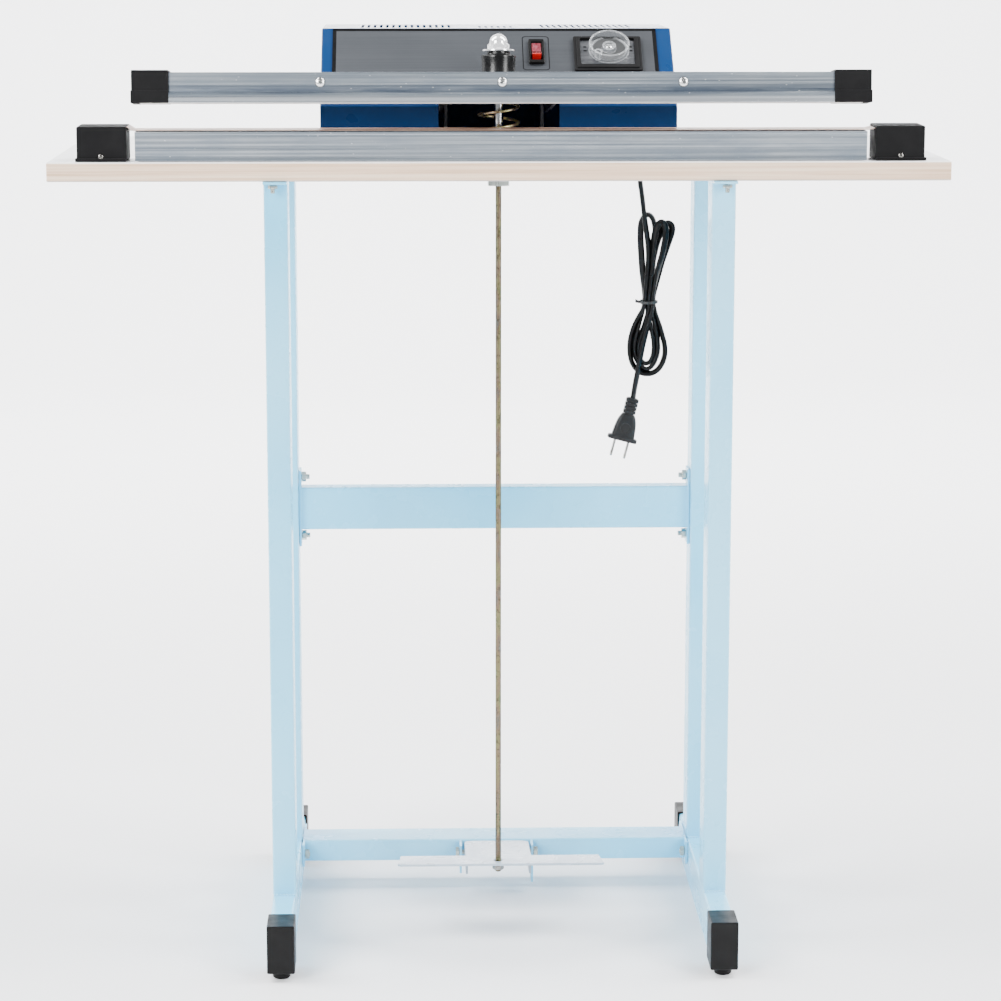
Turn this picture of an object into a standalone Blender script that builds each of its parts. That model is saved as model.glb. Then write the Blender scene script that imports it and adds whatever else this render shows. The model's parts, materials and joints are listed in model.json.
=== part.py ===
"""Foot-pedal impulse heat sealer on a stand, in metres, +Z up.

Origin: on the floor, under the middle of the machine's footprint. +X is to the operator's
right, -Y is towards the operator. The jaws are modelled closed and level; the arm is then
swung open about its pivot, and the pedal is tilted up about its own.
"""

import math

import bmesh
import bpy
from mathutils import Vector

GAP = 0.0003  # clearance between pieces that touch

# Floor, table and stand
FRONT = -0.121  # y of the table's front edge
TABLE_WIDTH = 0.750
TABLE_DEPTH = 0.320
TABLE_THICKNESS = 0.016
TABLE_TOP = 0.682
TABLE_UNDERSIDE = TABLE_TOP - TABLE_THICKNESS
TUBE_NARROW = 0.020
TUBE_WIDE = 0.0385
TUBE_WALL = 0.0015
TUBE_CORNER = 0.0025
STAND_HALF_WIDTH = 0.197  # to the outer faces of the legs
LEG_CENTRE_X = STAND_HALF_WIDTH - TUBE_NARROW / 2
LEG_INNER_X = STAND_HALF_WIDTH - TUBE_NARROW
FRONT_LEG_Y = FRONT + 0.012
REAR_LEG_Y = FRONT + 0.173
FOOT_FRONT = FRONT - 0.078
FOOT_REAR = FRONT + 0.284
FOOT_CAP = (0.0235, 0.035, 0.042)
FOOT_CAP_WALL = 0.00145
FOOT_PAD_HEIGHT = 0.0068
FOOT_PAD_RADIUS = 0.0075
FOOT_PAD_FROM_END = 0.014
FOOT_TUBE_BOTTOM = FOOT_PAD_HEIGHT + FOOT_CAP_WALL + GAP
FOOT_TUBE_TOP = FOOT_TUBE_BOTTOM + TUBE_WIDE
LEG_TAB = 0.015  # how far a leg's top plate stands out past the leg
PLATE = 0.002
UPPER_BAR_BOTTOM = 0.3365
LOWER_BAR_BOTTOM = 0.0268
END_PLATE = 0.002
END_PLATE_VENT = 0.005  # radius of the hole into the bar's inside
UPPER_BOLT_HEIGHTS = (0.3298, 0.3838)
UPPER_PLATE_Z = (0.3215, 0.3905)
LOWER_PLATE_Y = (REAR_LEG_Y - 0.015, REAR_LEG_Y + 0.053)
LOWER_BOLT = (REAR_LEG_Y - 0.0075, 0.0366)
BOLT_RADIUS = 0.0022
TABLE_BOLT_X = 0.1889

# Jaws: jaw lengths are measured from the jaws' own middle
JAW_X = 0.0015
UPPER_JAW_X = 0.0018
JAW_HALF_LENGTH = 0.300
LOWER_JAW_HALF_LENGTH = 0.3040
LOWER_JAW_Y = (FRONT + 0.009, FRONT + 0.041)
LOWER_JAW_TOP = 0.7065
JAW_WALL = 0.002
TAPE_BOTTOM = 0.7074
TAPE_THICKNESS = 0.0004
RIBBON = (0.318, 0.005, 0.0003)
UPPER_JAW_Y = (FRONT + 0.008, FRONT + 0.034)
UPPER_JAW_BOTTOM = 0.7085
UPPER_JAW_HEIGHT = 0.025
JAW_LIP = (0.0084, 0.0012)  # the lip's height, and how far it stands out
JAW_CAP_INNER_X = 0.2754
JAW_CAP_OUTER_X = 0.3063
TERMINAL_BOX_X = (0.3108, 0.3518)
TERMINAL_BOX_Y = (FRONT + 0.0065, FRONT + 0.0445)
TERMINAL_BOX_TOP = 0.7110

# Arm: swings about a shaft inside the housing
OPEN_ANGLE = math.radians(5.83)
PIVOT = Vector((0.0, FRONT + 0.225, 0.720))
ARM_HALF_WIDTH = 0.049
ARM_SHEET = 0.003
ARM_TOP = 0.7299
ARM_FLANGE_BOTTOM = 0.7095
SHAFT_RADIUS = 0.0025
BUFFER_Y = FRONT + 0.0647

# Pull rod, spring and pedal
ROD_Y = FRONT + 0.0667
BAR_RADIUS = 0.004
ROD_RADIUS = 0.0025
BAR_Z = (0.6678, 0.7660)
ROD_Z = (0.0500, 0.6674)
SPRING_RADIUS = 0.01675
SPRING_WIRE = 0.00125
SPRING_Z = (0.6837, 0.7396)
SPRING_TURNS = 5.2
PEDAL_PIVOT = Vector((0.0, FRONT + 0.163, 0.038))
PEDAL_ANGLE = math.radians(7.0)
PEDAL_TOP = 0.010  # above its pivot
PEDAL_SHEET = 0.002
PEDAL_PLATE_X = (-0.0890, 0.0931)
PEDAL_ARM_X = 0.0010
PEDAL_ARM_HALF_WIDTH = 0.0293
PEDAL_EAR_INNER = 0.0317  # from the middle of the pedal's arm

# Housing: its sloped panel starts at the top of the vertical front
HOUSING_HALF_WIDTH = 0.1505
HOUSING_FRONT = FRONT + 0.052
HOUSING_SLOPE_TOP = FRONT + 0.134
HOUSING_BACK = FRONT + 0.246
HOUSING_SLOPE_Z = 0.725
HOUSING_TOP = 0.787
HOUSING_SHEET = 0.0015
HOUSING_MOUTH = (0.051, 0.750)  # half width, top
PANEL_ANGLE = math.atan2(HOUSING_TOP - HOUSING_SLOPE_Z, HOUSING_SLOPE_TOP - HOUSING_FRONT)
LABEL_X = (-0.1410, 0.1375)
LABEL_U = (0.006, 0.1012)
LABEL_NOTCH = (0.053, 0.043)
LABEL_THICKNESS = 0.0005
SWITCH_CENTRE = (0.0336, 0.0685)
SWITCH_SIZE = (0.0137, 0.0310)
ROCKER_SIZE = (0.0087, 0.0210)
ROCKER_ANGLE = math.radians(10.0)
TIMER_CENTRE = (0.0945, 0.0649)
TIMER_SIZE = (0.0580, 0.0446)
KNOB_CENTRE = (0.0957, 0.0691)
KNOB_RADIUS = 0.0176

# Mains cord, hanging in one plane behind the rod
CORD_Y = FRONT + 0.205
CORD_X = 0.1310
CORD_RADIUS = 0.0025
GLAND_BOTTOM = 0.6575
LEAD_ROUTE = ((0.1310, 0.6572), (0.1312, 0.6480), (0.1319, 0.6370), (0.1333, 0.6275), (0.1350, 0.6190))
TAIL_ROUTE = ((0.1302, 0.4758), (0.1291, 0.4695), (0.1277, 0.4615), (0.1263, 0.4525))
HANK_TOP = (0.1458, 0.6045)
HANK_BOTTOM = (0.1391, 0.4910)
HANK_RADIUS = 0.0160
HANK_THICKNESS = 0.013
PLUG_TILT = math.radians(14.5)


# Scene, materials and mesh helpers


def clear_scene():
    """Remove every object that the file opened with."""
    for thing in list(bpy.data.objects):
        bpy.data.objects.remove(thing, do_unlink=True)


def make_material(name, colour, roughness, metallic=0.0, transmission=0.0):
    """A Principled material of one colour."""
    made = bpy.data.materials.new(name)
    made.use_nodes = True
    shader = made.node_tree.nodes["Principled BSDF"]
    shader.inputs["Base Color"].default_value = (*colour, 1.0)
    shader.inputs["Roughness"].default_value = roughness
    shader.inputs["Metallic"].default_value = metallic
    shader.inputs["Transmission Weight"].default_value = transmission
    return made


def add_object(name, mesh_builder, material, centre=(0.0, 0.0, 0.0), parent=None):
    """An object from a bmesh, at centre, which is counted from its parent's origin at rest."""
    mesh = bpy.data.meshes.new(name)
    bmesh.ops.recalc_face_normals(mesh_builder, faces=mesh_builder.faces)
    mesh_builder.to_mesh(mesh)
    mesh_builder.free()
    made = bpy.data.objects.new(name, mesh)
    if material:
        mesh.materials.append(material)
    bpy.context.collection.objects.link(made)
    made.location = centre
    if parent:
        made.parent = parent
        made.location = Vector(centre) - Vector(parent["closed_origin"])
    return made


def add_frame(name, origin, tilt=0.0, parent=None):
    """An empty on a joint's axis; pieces on it are placed as if it were not tilted."""
    frame = bpy.data.objects.new(name, None)
    bpy.context.collection.objects.link(frame)
    frame["closed_origin"] = tuple(origin)
    frame.location = origin
    if parent:
        frame.parent = parent
        frame.location = Vector(origin) - Vector(parent["closed_origin"])
    frame.rotation_euler = (tilt, 0.0, 0.0)
    return frame


def box(name, low, high, material=None, parent=None):
    """A block between two corners."""
    low, high = Vector(low), Vector(high)
    size = high - low
    builder = bmesh.new()
    bmesh.ops.create_cube(builder, size=1.0)
    bmesh.ops.scale(builder, vec=size, verts=builder.verts)
    return add_object(name, builder, material, (low + high) / 2, parent)


def spread(point, along, axis):
    """A point of an outline, (a, b), set at a distance along an axis."""
    a, b = point
    if axis == "X":
        return (along, a, b)
    if axis == "Y":
        return (a, along, b)
    return (a, b, along)


def prism(name, outline, axis, start, end, material=None, parent=None, hole=None):
    """An outline pushed along an axis; hole is an inner outline with as many points."""
    builder = bmesh.new()
    rings = []
    for edge in [outline] + ([hole] if hole else []):
        for along in (start, end):
            rings.append([builder.verts.new(spread(point, along, axis)) for point in edge])
    count = len(outline)
    for number in range(count):
        after = (number + 1) % count
        for low, high in zip(rings[0::2], rings[1::2]):
            builder.faces.new((low[number], low[after], high[after], high[number]))
        if hole:
            for outer, inner in ((rings[0], rings[2]), (rings[1], rings[3])):
                builder.faces.new((outer[number], outer[after], inner[after], inner[number]))
    if not hole:
        builder.faces.new(rings[0])
        builder.faces.new(rings[1])
    return add_object(name, builder, material, (0, 0, 0), parent)


def arc(centre, radius, first, last, steps):
    """Points on an arc, angles in degrees."""
    turn = (last - first) / steps
    angles = [math.radians(first + turn * step) for step in range(steps + 1)]
    return [(centre[0] + radius * math.cos(a), centre[1] + radius * math.sin(a)) for a in angles]


def rounded_rectangle(low, high, radius, steps=2):
    """An outline with round corners, anticlockwise."""
    corners = ((high[0], high[1], 0), (low[0], high[1], 90), (low[0], low[1], 180), (high[0], low[1], 270))
    points = []
    for x, y, first in corners:
        inward_x = -radius if x == high[0] else radius
        inward_y = -radius if y == high[1] else radius
        points += arc((x + inward_x, y + inward_y), radius, first, first + 90, steps)
    return points


def turned(name, profile, centre, axis="Z", segments=24, hex_rows=(), material=None, parent=None):
    """A turned piece. profile lists (radius, height); the rows in hex_rows are six-sided there."""
    builder = bmesh.new()
    rings = []
    for row, (radius, height) in enumerate(profile):
        if radius == 0.0:
            rings.append([builder.verts.new((0.0, 0.0, height))])
            continue
        ring = []
        for number in range(segments):
            angle = 2 * math.pi * number / segments
            reach = radius
            if row in hex_rows:
                within = math.fmod(angle, math.pi / 3) - math.pi / 6
                reach = radius / math.cos(within)
            ring.append(builder.verts.new((reach * math.cos(angle), reach * math.sin(angle), height)))
        rings.append(ring)
    closed = profile[0][0] > 0.0
    pairs = list(zip(rings, rings[1:])) + ([(rings[-1], rings[0])] if closed else [])
    for low, high in pairs:
        for number in range(segments):
            after = (number + 1) % segments
            corners = [low[number % len(low)], low[after % len(low)]]
            corners += [high[after % len(high)], high[number % len(high)]]
            builder.faces.new(list(dict.fromkeys(corners)))
    made = add_object(name, builder, material, centre, parent)
    made.rotation_euler = {"X": (0, math.pi / 2, 0), "Y": (-math.pi / 2, 0, 0), "Z": (0, 0, 0)}[axis]
    made.data.shade_smooth()
    made.data.set_sharp_from_angle(angle=math.radians(35))
    return made


def hide_tool(tool):
    """Keep a cutter or a welded-on shape out of the model."""
    tool.hide_render = True
    tool.display_type = "WIRE"


def combine(piece, tool, operation):
    """Cut a tool from a piece, or weld it on."""
    hide_tool(tool)
    step = piece.modifiers.new(tool.name, "BOOLEAN")
    step.operation = operation
    step.object = tool


def cut(piece, *tools):
    for tool in tools:
        combine(piece, tool, "DIFFERENCE")


def weld(piece, *tools):
    for tool in tools:
        combine(piece, tool, "UNION")


def bevel(piece, width, segments=1):
    """Break a piece's sharp edges."""
    step = piece.modifiers.new("edges", "BEVEL")
    step.width = width
    step.segments = segments
    step.limit_method = "ANGLE"
    step.angle_limit = math.radians(50)


def drill(piece, radius, start, end, axis, segments=20, parent=None):
    """Cut a round hole between two points that differ along one axis only."""
    start, end = Vector(start), Vector(end)
    length = (end - start).length
    profile = ((0, -length / 2), (radius, -length / 2), (radius, length / 2), (0, length / 2))
    name = f"{piece.name}_hole_{len(piece.modifiers)}"
    cut(piece, turned(name, profile, (start + end) / 2, axis, segments, parent=parent))


def tube(name, low, high, axis, material):
    """A rectangular steel tube, open at both ends."""
    flat = {"X": (1, 2, 0), "Y": (0, 2, 1), "Z": (0, 1, 2)}[axis]
    inner = TUBE_CORNER - TUBE_WALL
    start, end = (low[flat[0]], low[flat[1]]), (high[flat[0]], high[flat[1]])
    outer = rounded_rectangle(start, end, TUBE_CORNER)
    hole_start = (start[0] + TUBE_WALL, start[1] + TUBE_WALL)
    hole_end = (end[0] - TUBE_WALL, end[1] - TUBE_WALL)
    hole = rounded_rectangle(hole_start, hole_end, inner)
    return prism(name, outer, axis, low[flat[2]], high[flat[2]], material, hole=hole)


# Stand


def build_table(materials):
    low = (-TABLE_WIDTH / 2, FRONT, TABLE_UNDERSIDE)
    high = (TABLE_WIDTH / 2, FRONT + TABLE_DEPTH, TABLE_TOP)
    table = box("table_top", low, high, materials["melamine"])
    bevel(table, 0.0008)
    below, above = TABLE_UNDERSIDE - 0.01, TABLE_TOP + 0.01
    drill(table, 0.006, (0, ROD_Y, below), (0, ROD_Y, above), "Z")
    drill(table, 0.006, (CORD_X, CORD_Y, below), (CORD_X, CORD_Y, above), "Z")


def build_leg(name, side, y, tab_side, materials):
    """A leg with a small plate on top, which stands out past it to take the table's bolt."""
    x = side * LEG_CENTRE_X
    top = TABLE_UNDERSIDE - GAP
    half = TUBE_NARROW / 2
    low = (x - half, y, FOOT_TUBE_TOP + GAP)
    leg = tube(name, low, (x + half, y + TUBE_WIDE, top - PLATE / 2), "Z", materials["stand_paint"])
    tab_low = y - LEG_TAB if tab_side < 0 else y
    tab_high = y + TUBE_WIDE + (LEG_TAB if tab_side > 0 else 0)
    corner = 0.0005
    tab_outline = rounded_rectangle((x - half, tab_low), (x + half, tab_high), corner)
    weld(leg, prism(name + "_plate", tab_outline, "Z", top - PLATE, top))
    bolt_x, bolt_y = side * TABLE_BOLT_X, leg_bolt_y(y, tab_side)
    drill(leg, BOLT_RADIUS, (bolt_x, bolt_y, top - 0.01), (bolt_x, bolt_y, top + 0.01), "Z", 16)
    return leg


def leg_bolt_y(y, tab_side):
    """Where the table's bolt passes through a leg's top plate."""
    to_tab = 0.0068
    return y - to_tab if tab_side < 0 else y + TUBE_WIDE + to_tab


def build_side_frames(materials):
    for side, word in ((-1, "left"), (1, "right")):
        build_leg(f"leg_front_{word}", side, FRONT_LEG_Y, -1, materials)
        rear = build_leg(f"leg_rear_{word}", side, REAR_LEG_Y, 1, materials)
        for height in UPPER_BOLT_HEIGHTS:
            middle = REAR_LEG_Y + TUBE_WIDE / 2
            ends = [(side * x, middle, height) for x in (LEG_INNER_X - 0.01, STAND_HALF_WIDTH + 0.01)]
            drill(rear, BOLT_RADIUS + 0.0005, *ends, "X", 16)
        x = side * LEG_CENTRE_X
        half = TUBE_NARROW / 2
        end_wall = FOOT_CAP_WALL + GAP
        low = (x - half, FOOT_FRONT + end_wall, FOOT_TUBE_BOTTOM)
        high = (x + half, FOOT_REAR - end_wall, FOOT_TUBE_TOP)
        foot = tube(f"foot_tube_{word}", low, high, "Y", materials["stand_paint"])
        inside = (side * (LEG_INNER_X - 0.01), *LOWER_BOLT)
        outside = (side * (STAND_HALF_WIDTH + 0.01), *LOWER_BOLT)
        drill(foot, BOLT_RADIUS + 0.0005, inside, outside, "X", 16)
        build_foot_cap(f"foot_cap_front_{word}", x, FOOT_FRONT, 1, materials)
        build_foot_cap(f"foot_cap_rear_{word}", x, FOOT_REAR, -1, materials)
        bolt_y = leg_bolt_y(FRONT_LEG_Y, -1)
        build_table_bolt(f"table_bolt_{word}", side * TABLE_BOLT_X, bolt_y, materials)


def build_foot_cap(name, x, end_y, inward, materials):
    """A moulded cap over the end of a foot tube, with a round pad under it."""
    width, length, height = FOOT_CAP
    top = FOOT_PAD_HEIGHT + height
    y_range = sorted((end_y, end_y + inward * length))
    low, high = (x - width / 2, y_range[0], FOOT_PAD_HEIGHT), (x + width / 2, y_range[1], top)
    cap = box(name, low, high, materials["cap_plastic"])
    bevel(cap, 0.0012, 2)
    half = TUBE_NARROW / 2 + GAP
    past = end_y + inward * (length + 0.01)
    hollow = sorted((end_y + inward * FOOT_CAP_WALL, past))
    hole_low = (x - half, hollow[0], FOOT_TUBE_BOTTOM - GAP)
    hole_high = (x + half, hollow[1], FOOT_TUBE_TOP + GAP)
    cut(cap, box(name + "_socket", hole_low, hole_high))
    top_of_pad = FOOT_PAD_HEIGHT + FOOT_CAP_WALL / 2
    edge = 0.001
    pad = (
        (0, 0),
        (FOOT_PAD_RADIUS - edge, 0),
        (FOOT_PAD_RADIUS, edge),
        (FOOT_PAD_RADIUS, top_of_pad),
        (0, top_of_pad),
    )
    weld(cap, turned(name + "_pad", pad, (x, end_y + inward * FOOT_PAD_FROM_END, 0), "Z", 20))


def build_table_bolt(name, x, y, materials):
    """A stud that hangs from the table's underside through a leg's top plate."""
    top = TABLE_UNDERSIDE - GAP
    stud = 0.0019
    end = 0.0096
    edge = 0.0004
    profile = (
        (0, top - end),
        (stud - edge, top - end),
        (stud, top - end + edge),
        (stud, top - GAP),
        (0, top - GAP),
    )
    turned(name, profile, (x, y, 0), "Z", 12, (), materials["zinc"])


def build_cross_bolt(name, side, y, z, stud_end, materials):
    """A bolt along X through a leg, its head outside and its nut inside the end plate."""
    head_start = STAND_HALF_WIDTH + GAP
    head = 0.0032
    flats = 0.0040
    nut_face = LEG_INNER_X - END_PLATE - 2 * GAP
    nut = 0.0039
    rows = (
        (0, nut_face - stud_end),
        (BOLT_RADIUS, nut_face - stud_end),
        (BOLT_RADIUS, nut_face - nut),
        (flats, nut_face - nut),
        (flats, nut_face),
        (BOLT_RADIUS, nut_face),
        (BOLT_RADIUS, head_start),
        (flats, head_start),
        (flats, head_start + head),
        (0, head_start + head),
    )
    profile = [(radius, side * along) for radius, along in rows]
    turned(name, profile, (0, y, z), "X", 12, (3, 4, 7, 8), materials["zinc"])


def build_crossbars(materials):
    paint = materials["stand_paint"]
    middle = REAR_LEG_Y + TUBE_WIDE / 2
    inner = LEG_INNER_X - GAP - END_PLATE
    half = TUBE_NARROW / 2
    overlap = END_PLATE / 2

    low = (-inner - overlap, middle - half, UPPER_BAR_BOTTOM)
    high = (inner + overlap, middle + half, UPPER_BAR_BOTTOM + TUBE_WIDE)
    upper = tube("crossbar_upper", low, high, "X", paint)
    low = (-inner - overlap, REAR_LEG_Y, LOWER_BAR_BOTTOM)
    high = (inner + overlap, REAR_LEG_Y + TUBE_WIDE, LOWER_BAR_BOTTOM + TUBE_NARROW)
    lower = tube("crossbar_lower", low, high, "X", paint)

    for side, word in ((-1, "left"), (1, "right")):
        x_range = sorted((side * inner, side * (inner + END_PLATE)))
        low = (x_range[0], middle - half - 0.0005, UPPER_PLATE_Z[0])
        high = (x_range[1], middle + half + 0.0005, UPPER_PLATE_Z[1])
        weld(upper, box(f"upper_end_plate_{word}", low, high))
        plate_edge = 0.0003
        low = (x_range[0], LOWER_PLATE_Y[0], LOWER_BAR_BOTTOM - plate_edge)
        high = (x_range[1], LOWER_PLATE_Y[1], LOWER_BAR_BOTTOM + TUBE_NARROW + plate_edge)
        weld(lower, box(f"lower_end_plate_{word}", low, high))
        clearance = BOLT_RADIUS + 0.0005
        reach = (inner - 0.01, inner + END_PLATE + 0.01)
        for bar, y, z in (
            (upper, middle, UPPER_BAR_BOTTOM + TUBE_WIDE / 2),
            (lower, middle, LOWER_BAR_BOTTOM + TUBE_NARROW / 2),
        ):
            drill(bar, END_PLATE_VENT, *[(side * x, y, z) for x in reach], "X", 16)
        for number, height in enumerate(UPPER_BOLT_HEIGHTS):
            drill(upper, clearance, *[(side * x, middle, height) for x in reach], "X", 16)
            build_cross_bolt(f"upper_bar_bolt_{word}_{number + 1}", side, middle, height, 0.0071, materials)
        drill(lower, clearance, *[(side * x, *LOWER_BOLT) for x in reach], "X", 16)
        build_cross_bolt(f"lower_bar_bolt_{word}", side, *LOWER_BOLT, 0.0045, materials)
    add_pedal_ears(lower)


def add_pedal_ears(bar):
    """Two ears on the lower crossbar's front face that carry the pedal's pivot."""
    back = REAR_LEG_Y + TUBE_WALL / 2
    for side, bottom in ((-1, 0.020), (1, 0.011)):
        ends = (PEDAL_EAR_INNER, PEDAL_EAR_INNER + PEDAL_SHEET)
        x_range = sorted(PEDAL_ARM_X + side * x for x in ends)
        low = (x_range[0], PEDAL_PIVOT.y - 0.007, bottom)
        high = (x_range[1], back, 0.0460)
        weld(bar, box(f"pedal_ear_{side}", low, high))
        ends = [(x, PEDAL_PIVOT.y, PEDAL_PIVOT.z) for x in (x_range[0] - 0.01, x_range[1] + 0.01)]
        drill(bar, BOLT_RADIUS + 0.0004, *ends, "X", 16)


# Head: lower jaw, terminal boxes and what they hold


def build_lower_jaw(materials):
    front, back = LOWER_JAW_Y
    lip = 0.0008
    lip_bottom = LOWER_JAW_TOP - 0.0022
    inside = LOWER_JAW_TOP - JAW_WALL
    bottom = TABLE_TOP + GAP
    outline = [
        (front + lip, bottom),
        (front + lip, lip_bottom),
        (front, lip_bottom),
        (front, LOWER_JAW_TOP),
        (back, LOWER_JAW_TOP),
        (back, lip_bottom),
        (back - lip, lip_bottom),
        (back - lip, bottom),
        (back - lip - JAW_WALL, bottom),
        (back - lip - JAW_WALL, inside),
        (front + lip + JAW_WALL, inside),
        (front + lip + JAW_WALL, bottom),
    ]
    left, right = JAW_X - LOWER_JAW_HALF_LENGTH, JAW_X + LOWER_JAW_HALF_LENGTH
    prism("lower_jaw", outline, "X", left, right, materials["aluminium"])

    middle = (front + back) / 2
    half, width, thick = RIBBON
    bottom = LOWER_JAW_TOP + GAP
    low = (JAW_X - half, middle - width / 2, bottom)
    high = (JAW_X + half, middle + width / 2, bottom + thick)
    box("heating_ribbon", low, high, materials["ribbon"])

    build_tape(materials)


def build_tape(materials):
    """The non-stick tape over the ribbon, which rises at its ends to the terminal boxes."""
    rise_left, rise_right = 0.0030, 0.0012
    flat = LOWER_JAW_HALF_LENGTH + 0.0016
    end = TERMINAL_BOX_X[0] - GAP
    path = [(-end, rise_left), (-flat, 0.0), (flat, 0.0), (end, rise_right)]
    under = [(JAW_X + x, TAPE_BOTTOM + rise) for x, rise in path]
    over = [(x, z + TAPE_THICKNESS) for x, z in reversed(under)]
    front, back = LOWER_JAW_Y
    inset = 0.0012
    prism("ptfe_tape", under + over, "Y", front + inset, back - inset, materials["ptfe"])


def build_terminal_box(word, side, materials):
    """A moulded cover over one end of the ribbon, open below, with a slot for the ribbon."""
    inner, outer = TERMINAL_BOX_X
    front, back = TERMINAL_BOX_Y
    wall = 0.002
    bottom = TABLE_TOP + GAP
    name = f"terminal_box_{word}"

    def block(label, x_pair, y_pair, z_pair, material=None):
        xs = sorted(JAW_X + side * x for x in x_pair)
        return box(label, (xs[0], y_pair[0], z_pair[0]), (xs[1], y_pair[1], z_pair[1]), material)

    cover = block(name, (inner, outer), (front, back), (bottom, TERMINAL_BOX_TOP), materials["box_plastic"])
    bevel(cover, 0.0012, 2)
    rim = 0.0012
    flange = (inner + 0.0005, outer + rim)
    weld(cover, block(name + "_flange", flange, (front - rim, back + rim), (bottom, bottom + 0.0025)))
    room_x = (inner + wall, outer - wall)
    room_y = (front + wall, back - wall)
    cut(cover, block(name + "_room", room_x, room_y, (bottom - 0.01, TERMINAL_BOX_TOP - wall)))
    ribbon_y = (LOWER_JAW_Y[0] + LOWER_JAW_Y[1]) / 2
    slot_y = (ribbon_y - 0.0040, ribbon_y + 0.0040)
    slot_z = (LOWER_JAW_TOP - 0.0004, TAPE_BOTTOM + 0.0010)
    cut(cover, block(name + "_slot", (inner - 0.01, inner + wall + 0.002), slot_y, slot_z))

    top = LOWER_JAW_TOP
    clamp_x = (inner + 0.006, inner + 0.020)
    clamp_y = (ribbon_y - 0.006, ribbon_y + 0.006)
    clamp = block(f"ribbon_clamp_{word}", clamp_x, clamp_y, (bottom, top), materials["brass"])
    bevel(clamp, 0.0006)


# Arm and what swings with it


def build_arm(frame, materials):
    """The folded-sheet arm: an upside-down channel with a plate at the front for the jaw."""
    under = ARM_TOP - ARM_SHEET
    inner = ARM_HALF_WIDTH - ARM_SHEET
    section = [
        (-ARM_HALF_WIDTH, ARM_FLANGE_BOTTOM),
        (-ARM_HALF_WIDTH, ARM_TOP - 0.002),
        (-ARM_HALF_WIDTH + 0.002, ARM_TOP),
        (ARM_HALF_WIDTH - 0.002, ARM_TOP),
        (ARM_HALF_WIDTH, ARM_TOP - 0.002),
        (ARM_HALF_WIDTH, ARM_FLANGE_BOTTOM),
        (inner, ARM_FLANGE_BOTTOM),
        (inner, under),
        (-inner, under),
        (-inner, ARM_FLANGE_BOTTOM),
    ]
    start = UPPER_JAW_Y[1] + 0.0035
    arm = prism("arm_bracket", section, "Y", start, PIVOT.y + 0.011, materials["arm_steel"], frame)
    jaw_back = UPPER_JAW_Y[1] + GAP
    plate_x = 0.030
    plate_low = (-plate_x, jaw_back, ARM_FLANGE_BOTTOM + 0.0015)
    weld(arm, box("arm_front_plate", plate_low, (plate_x, start + 0.0005, ARM_TOP - 0.0002), parent=frame))
    drill(arm, 0.0075, (0, BUFFER_Y, under - 0.01), (0, BUFFER_Y, ARM_TOP + 0.01), "Z", 24, frame)
    for x in (-ARM_HALF_WIDTH, ARM_HALF_WIDTH):
        start, end = (x - 0.01, PIVOT.y, PIVOT.z), (x + 0.01, PIVOT.y, PIVOT.z)
        drill(arm, SHAFT_RADIUS + 0.0004, start, end, "X", 20, frame)


def jaw_outline(margin=0.0):
    """The upper jaw's section: a box whose lower lip stands out front and back."""
    front, back = UPPER_JAW_Y
    bottom, top = UPPER_JAW_BOTTOM, UPPER_JAW_BOTTOM + UPPER_JAW_HEIGHT
    lip_height, lip = JAW_LIP
    step = bottom + lip_height + margin
    return [
        (front - margin, bottom - margin),
        (front - margin, step),
        (front + lip - margin, step),
        (front + lip - margin, top + margin),
        (back - lip + margin, top + margin),
        (back - lip + margin, step),
        (back + margin, step),
        (back + margin, bottom - margin),
    ]


def build_upper_jaw(frame, materials):
    left, right = UPPER_JAW_X - JAW_HALF_LENGTH, UPPER_JAW_X + JAW_HALF_LENGTH
    outline = jaw_outline()
    hole = jaw_outline(-JAW_WALL)
    jaw = prism("upper_jaw", outline, "X", left, right, materials["aluminium"], frame, hole)

    middle = sum(UPPER_JAW_Y) / 2
    strip_half, groove, proud = 0.006, 0.0012, 0.0003
    low = (left - 0.01, middle - strip_half - GAP, UPPER_JAW_BOTTOM - 0.01)
    high = (right + 0.01, middle + strip_half + GAP, UPPER_JAW_BOTTOM + groove)
    cut(jaw, box("strip_groove", low, high, parent=frame))
    low = (left, middle - strip_half, UPPER_JAW_BOTTOM - proud)
    high = (right, middle + strip_half, UPPER_JAW_BOTTOM + groove - GAP)
    box("silicone_strip", low, high, materials["silicone"], frame)

    for side, word in ((-1, "left"), (1, "right")):
        build_jaw_cap(frame, f"jaw_cap_{word}", side, materials)


def build_jaw_cap(frame, name, side, materials):
    """A moulded cap round one end of the upper jaw, a little fuller at the lip, open below."""

    def span(inner, outer):
        return sorted(UPPER_JAW_X + side * x for x in (inner, outer))

    front, back = UPPER_JAW_Y
    bottom, top = UPPER_JAW_BOTTOM - 0.0004, UPPER_JAW_BOTTOM + UPPER_JAW_HEIGHT + 0.0018
    step = UPPER_JAW_BOTTOM + 0.0100
    fuller = 0.0006
    xs = span(JAW_CAP_INNER_X, JAW_CAP_OUTER_X)
    low, high = (xs[0], front - fuller, bottom), (xs[1], back + fuller, top)
    cap = box(name, low, high, materials["box_plastic"], frame)
    bevel(cap, 0.0004)
    xs = span(JAW_CAP_INNER_X + fuller, JAW_CAP_OUTER_X + fuller)
    low, high = (xs[0], front - 2 * fuller, bottom + 0.0002), (xs[1], back + 2 * fuller, step)
    foot = box(name + "_foot", low, high, parent=frame)
    bevel(foot, 0.0003)
    weld(cap, foot)
    socket = span(JAW_CAP_INNER_X - 0.01, JAW_HALF_LENGTH + GAP)
    cut(cap, prism(name + "_socket", jaw_outline(GAP), "X", *socket, parent=frame))
    low, high = (socket[0], front - GAP, bottom - 0.01), (socket[1], back + GAP, UPPER_JAW_BOTTOM)
    cut(cap, box(name + "_open_side", low, high, parent=frame))


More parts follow.
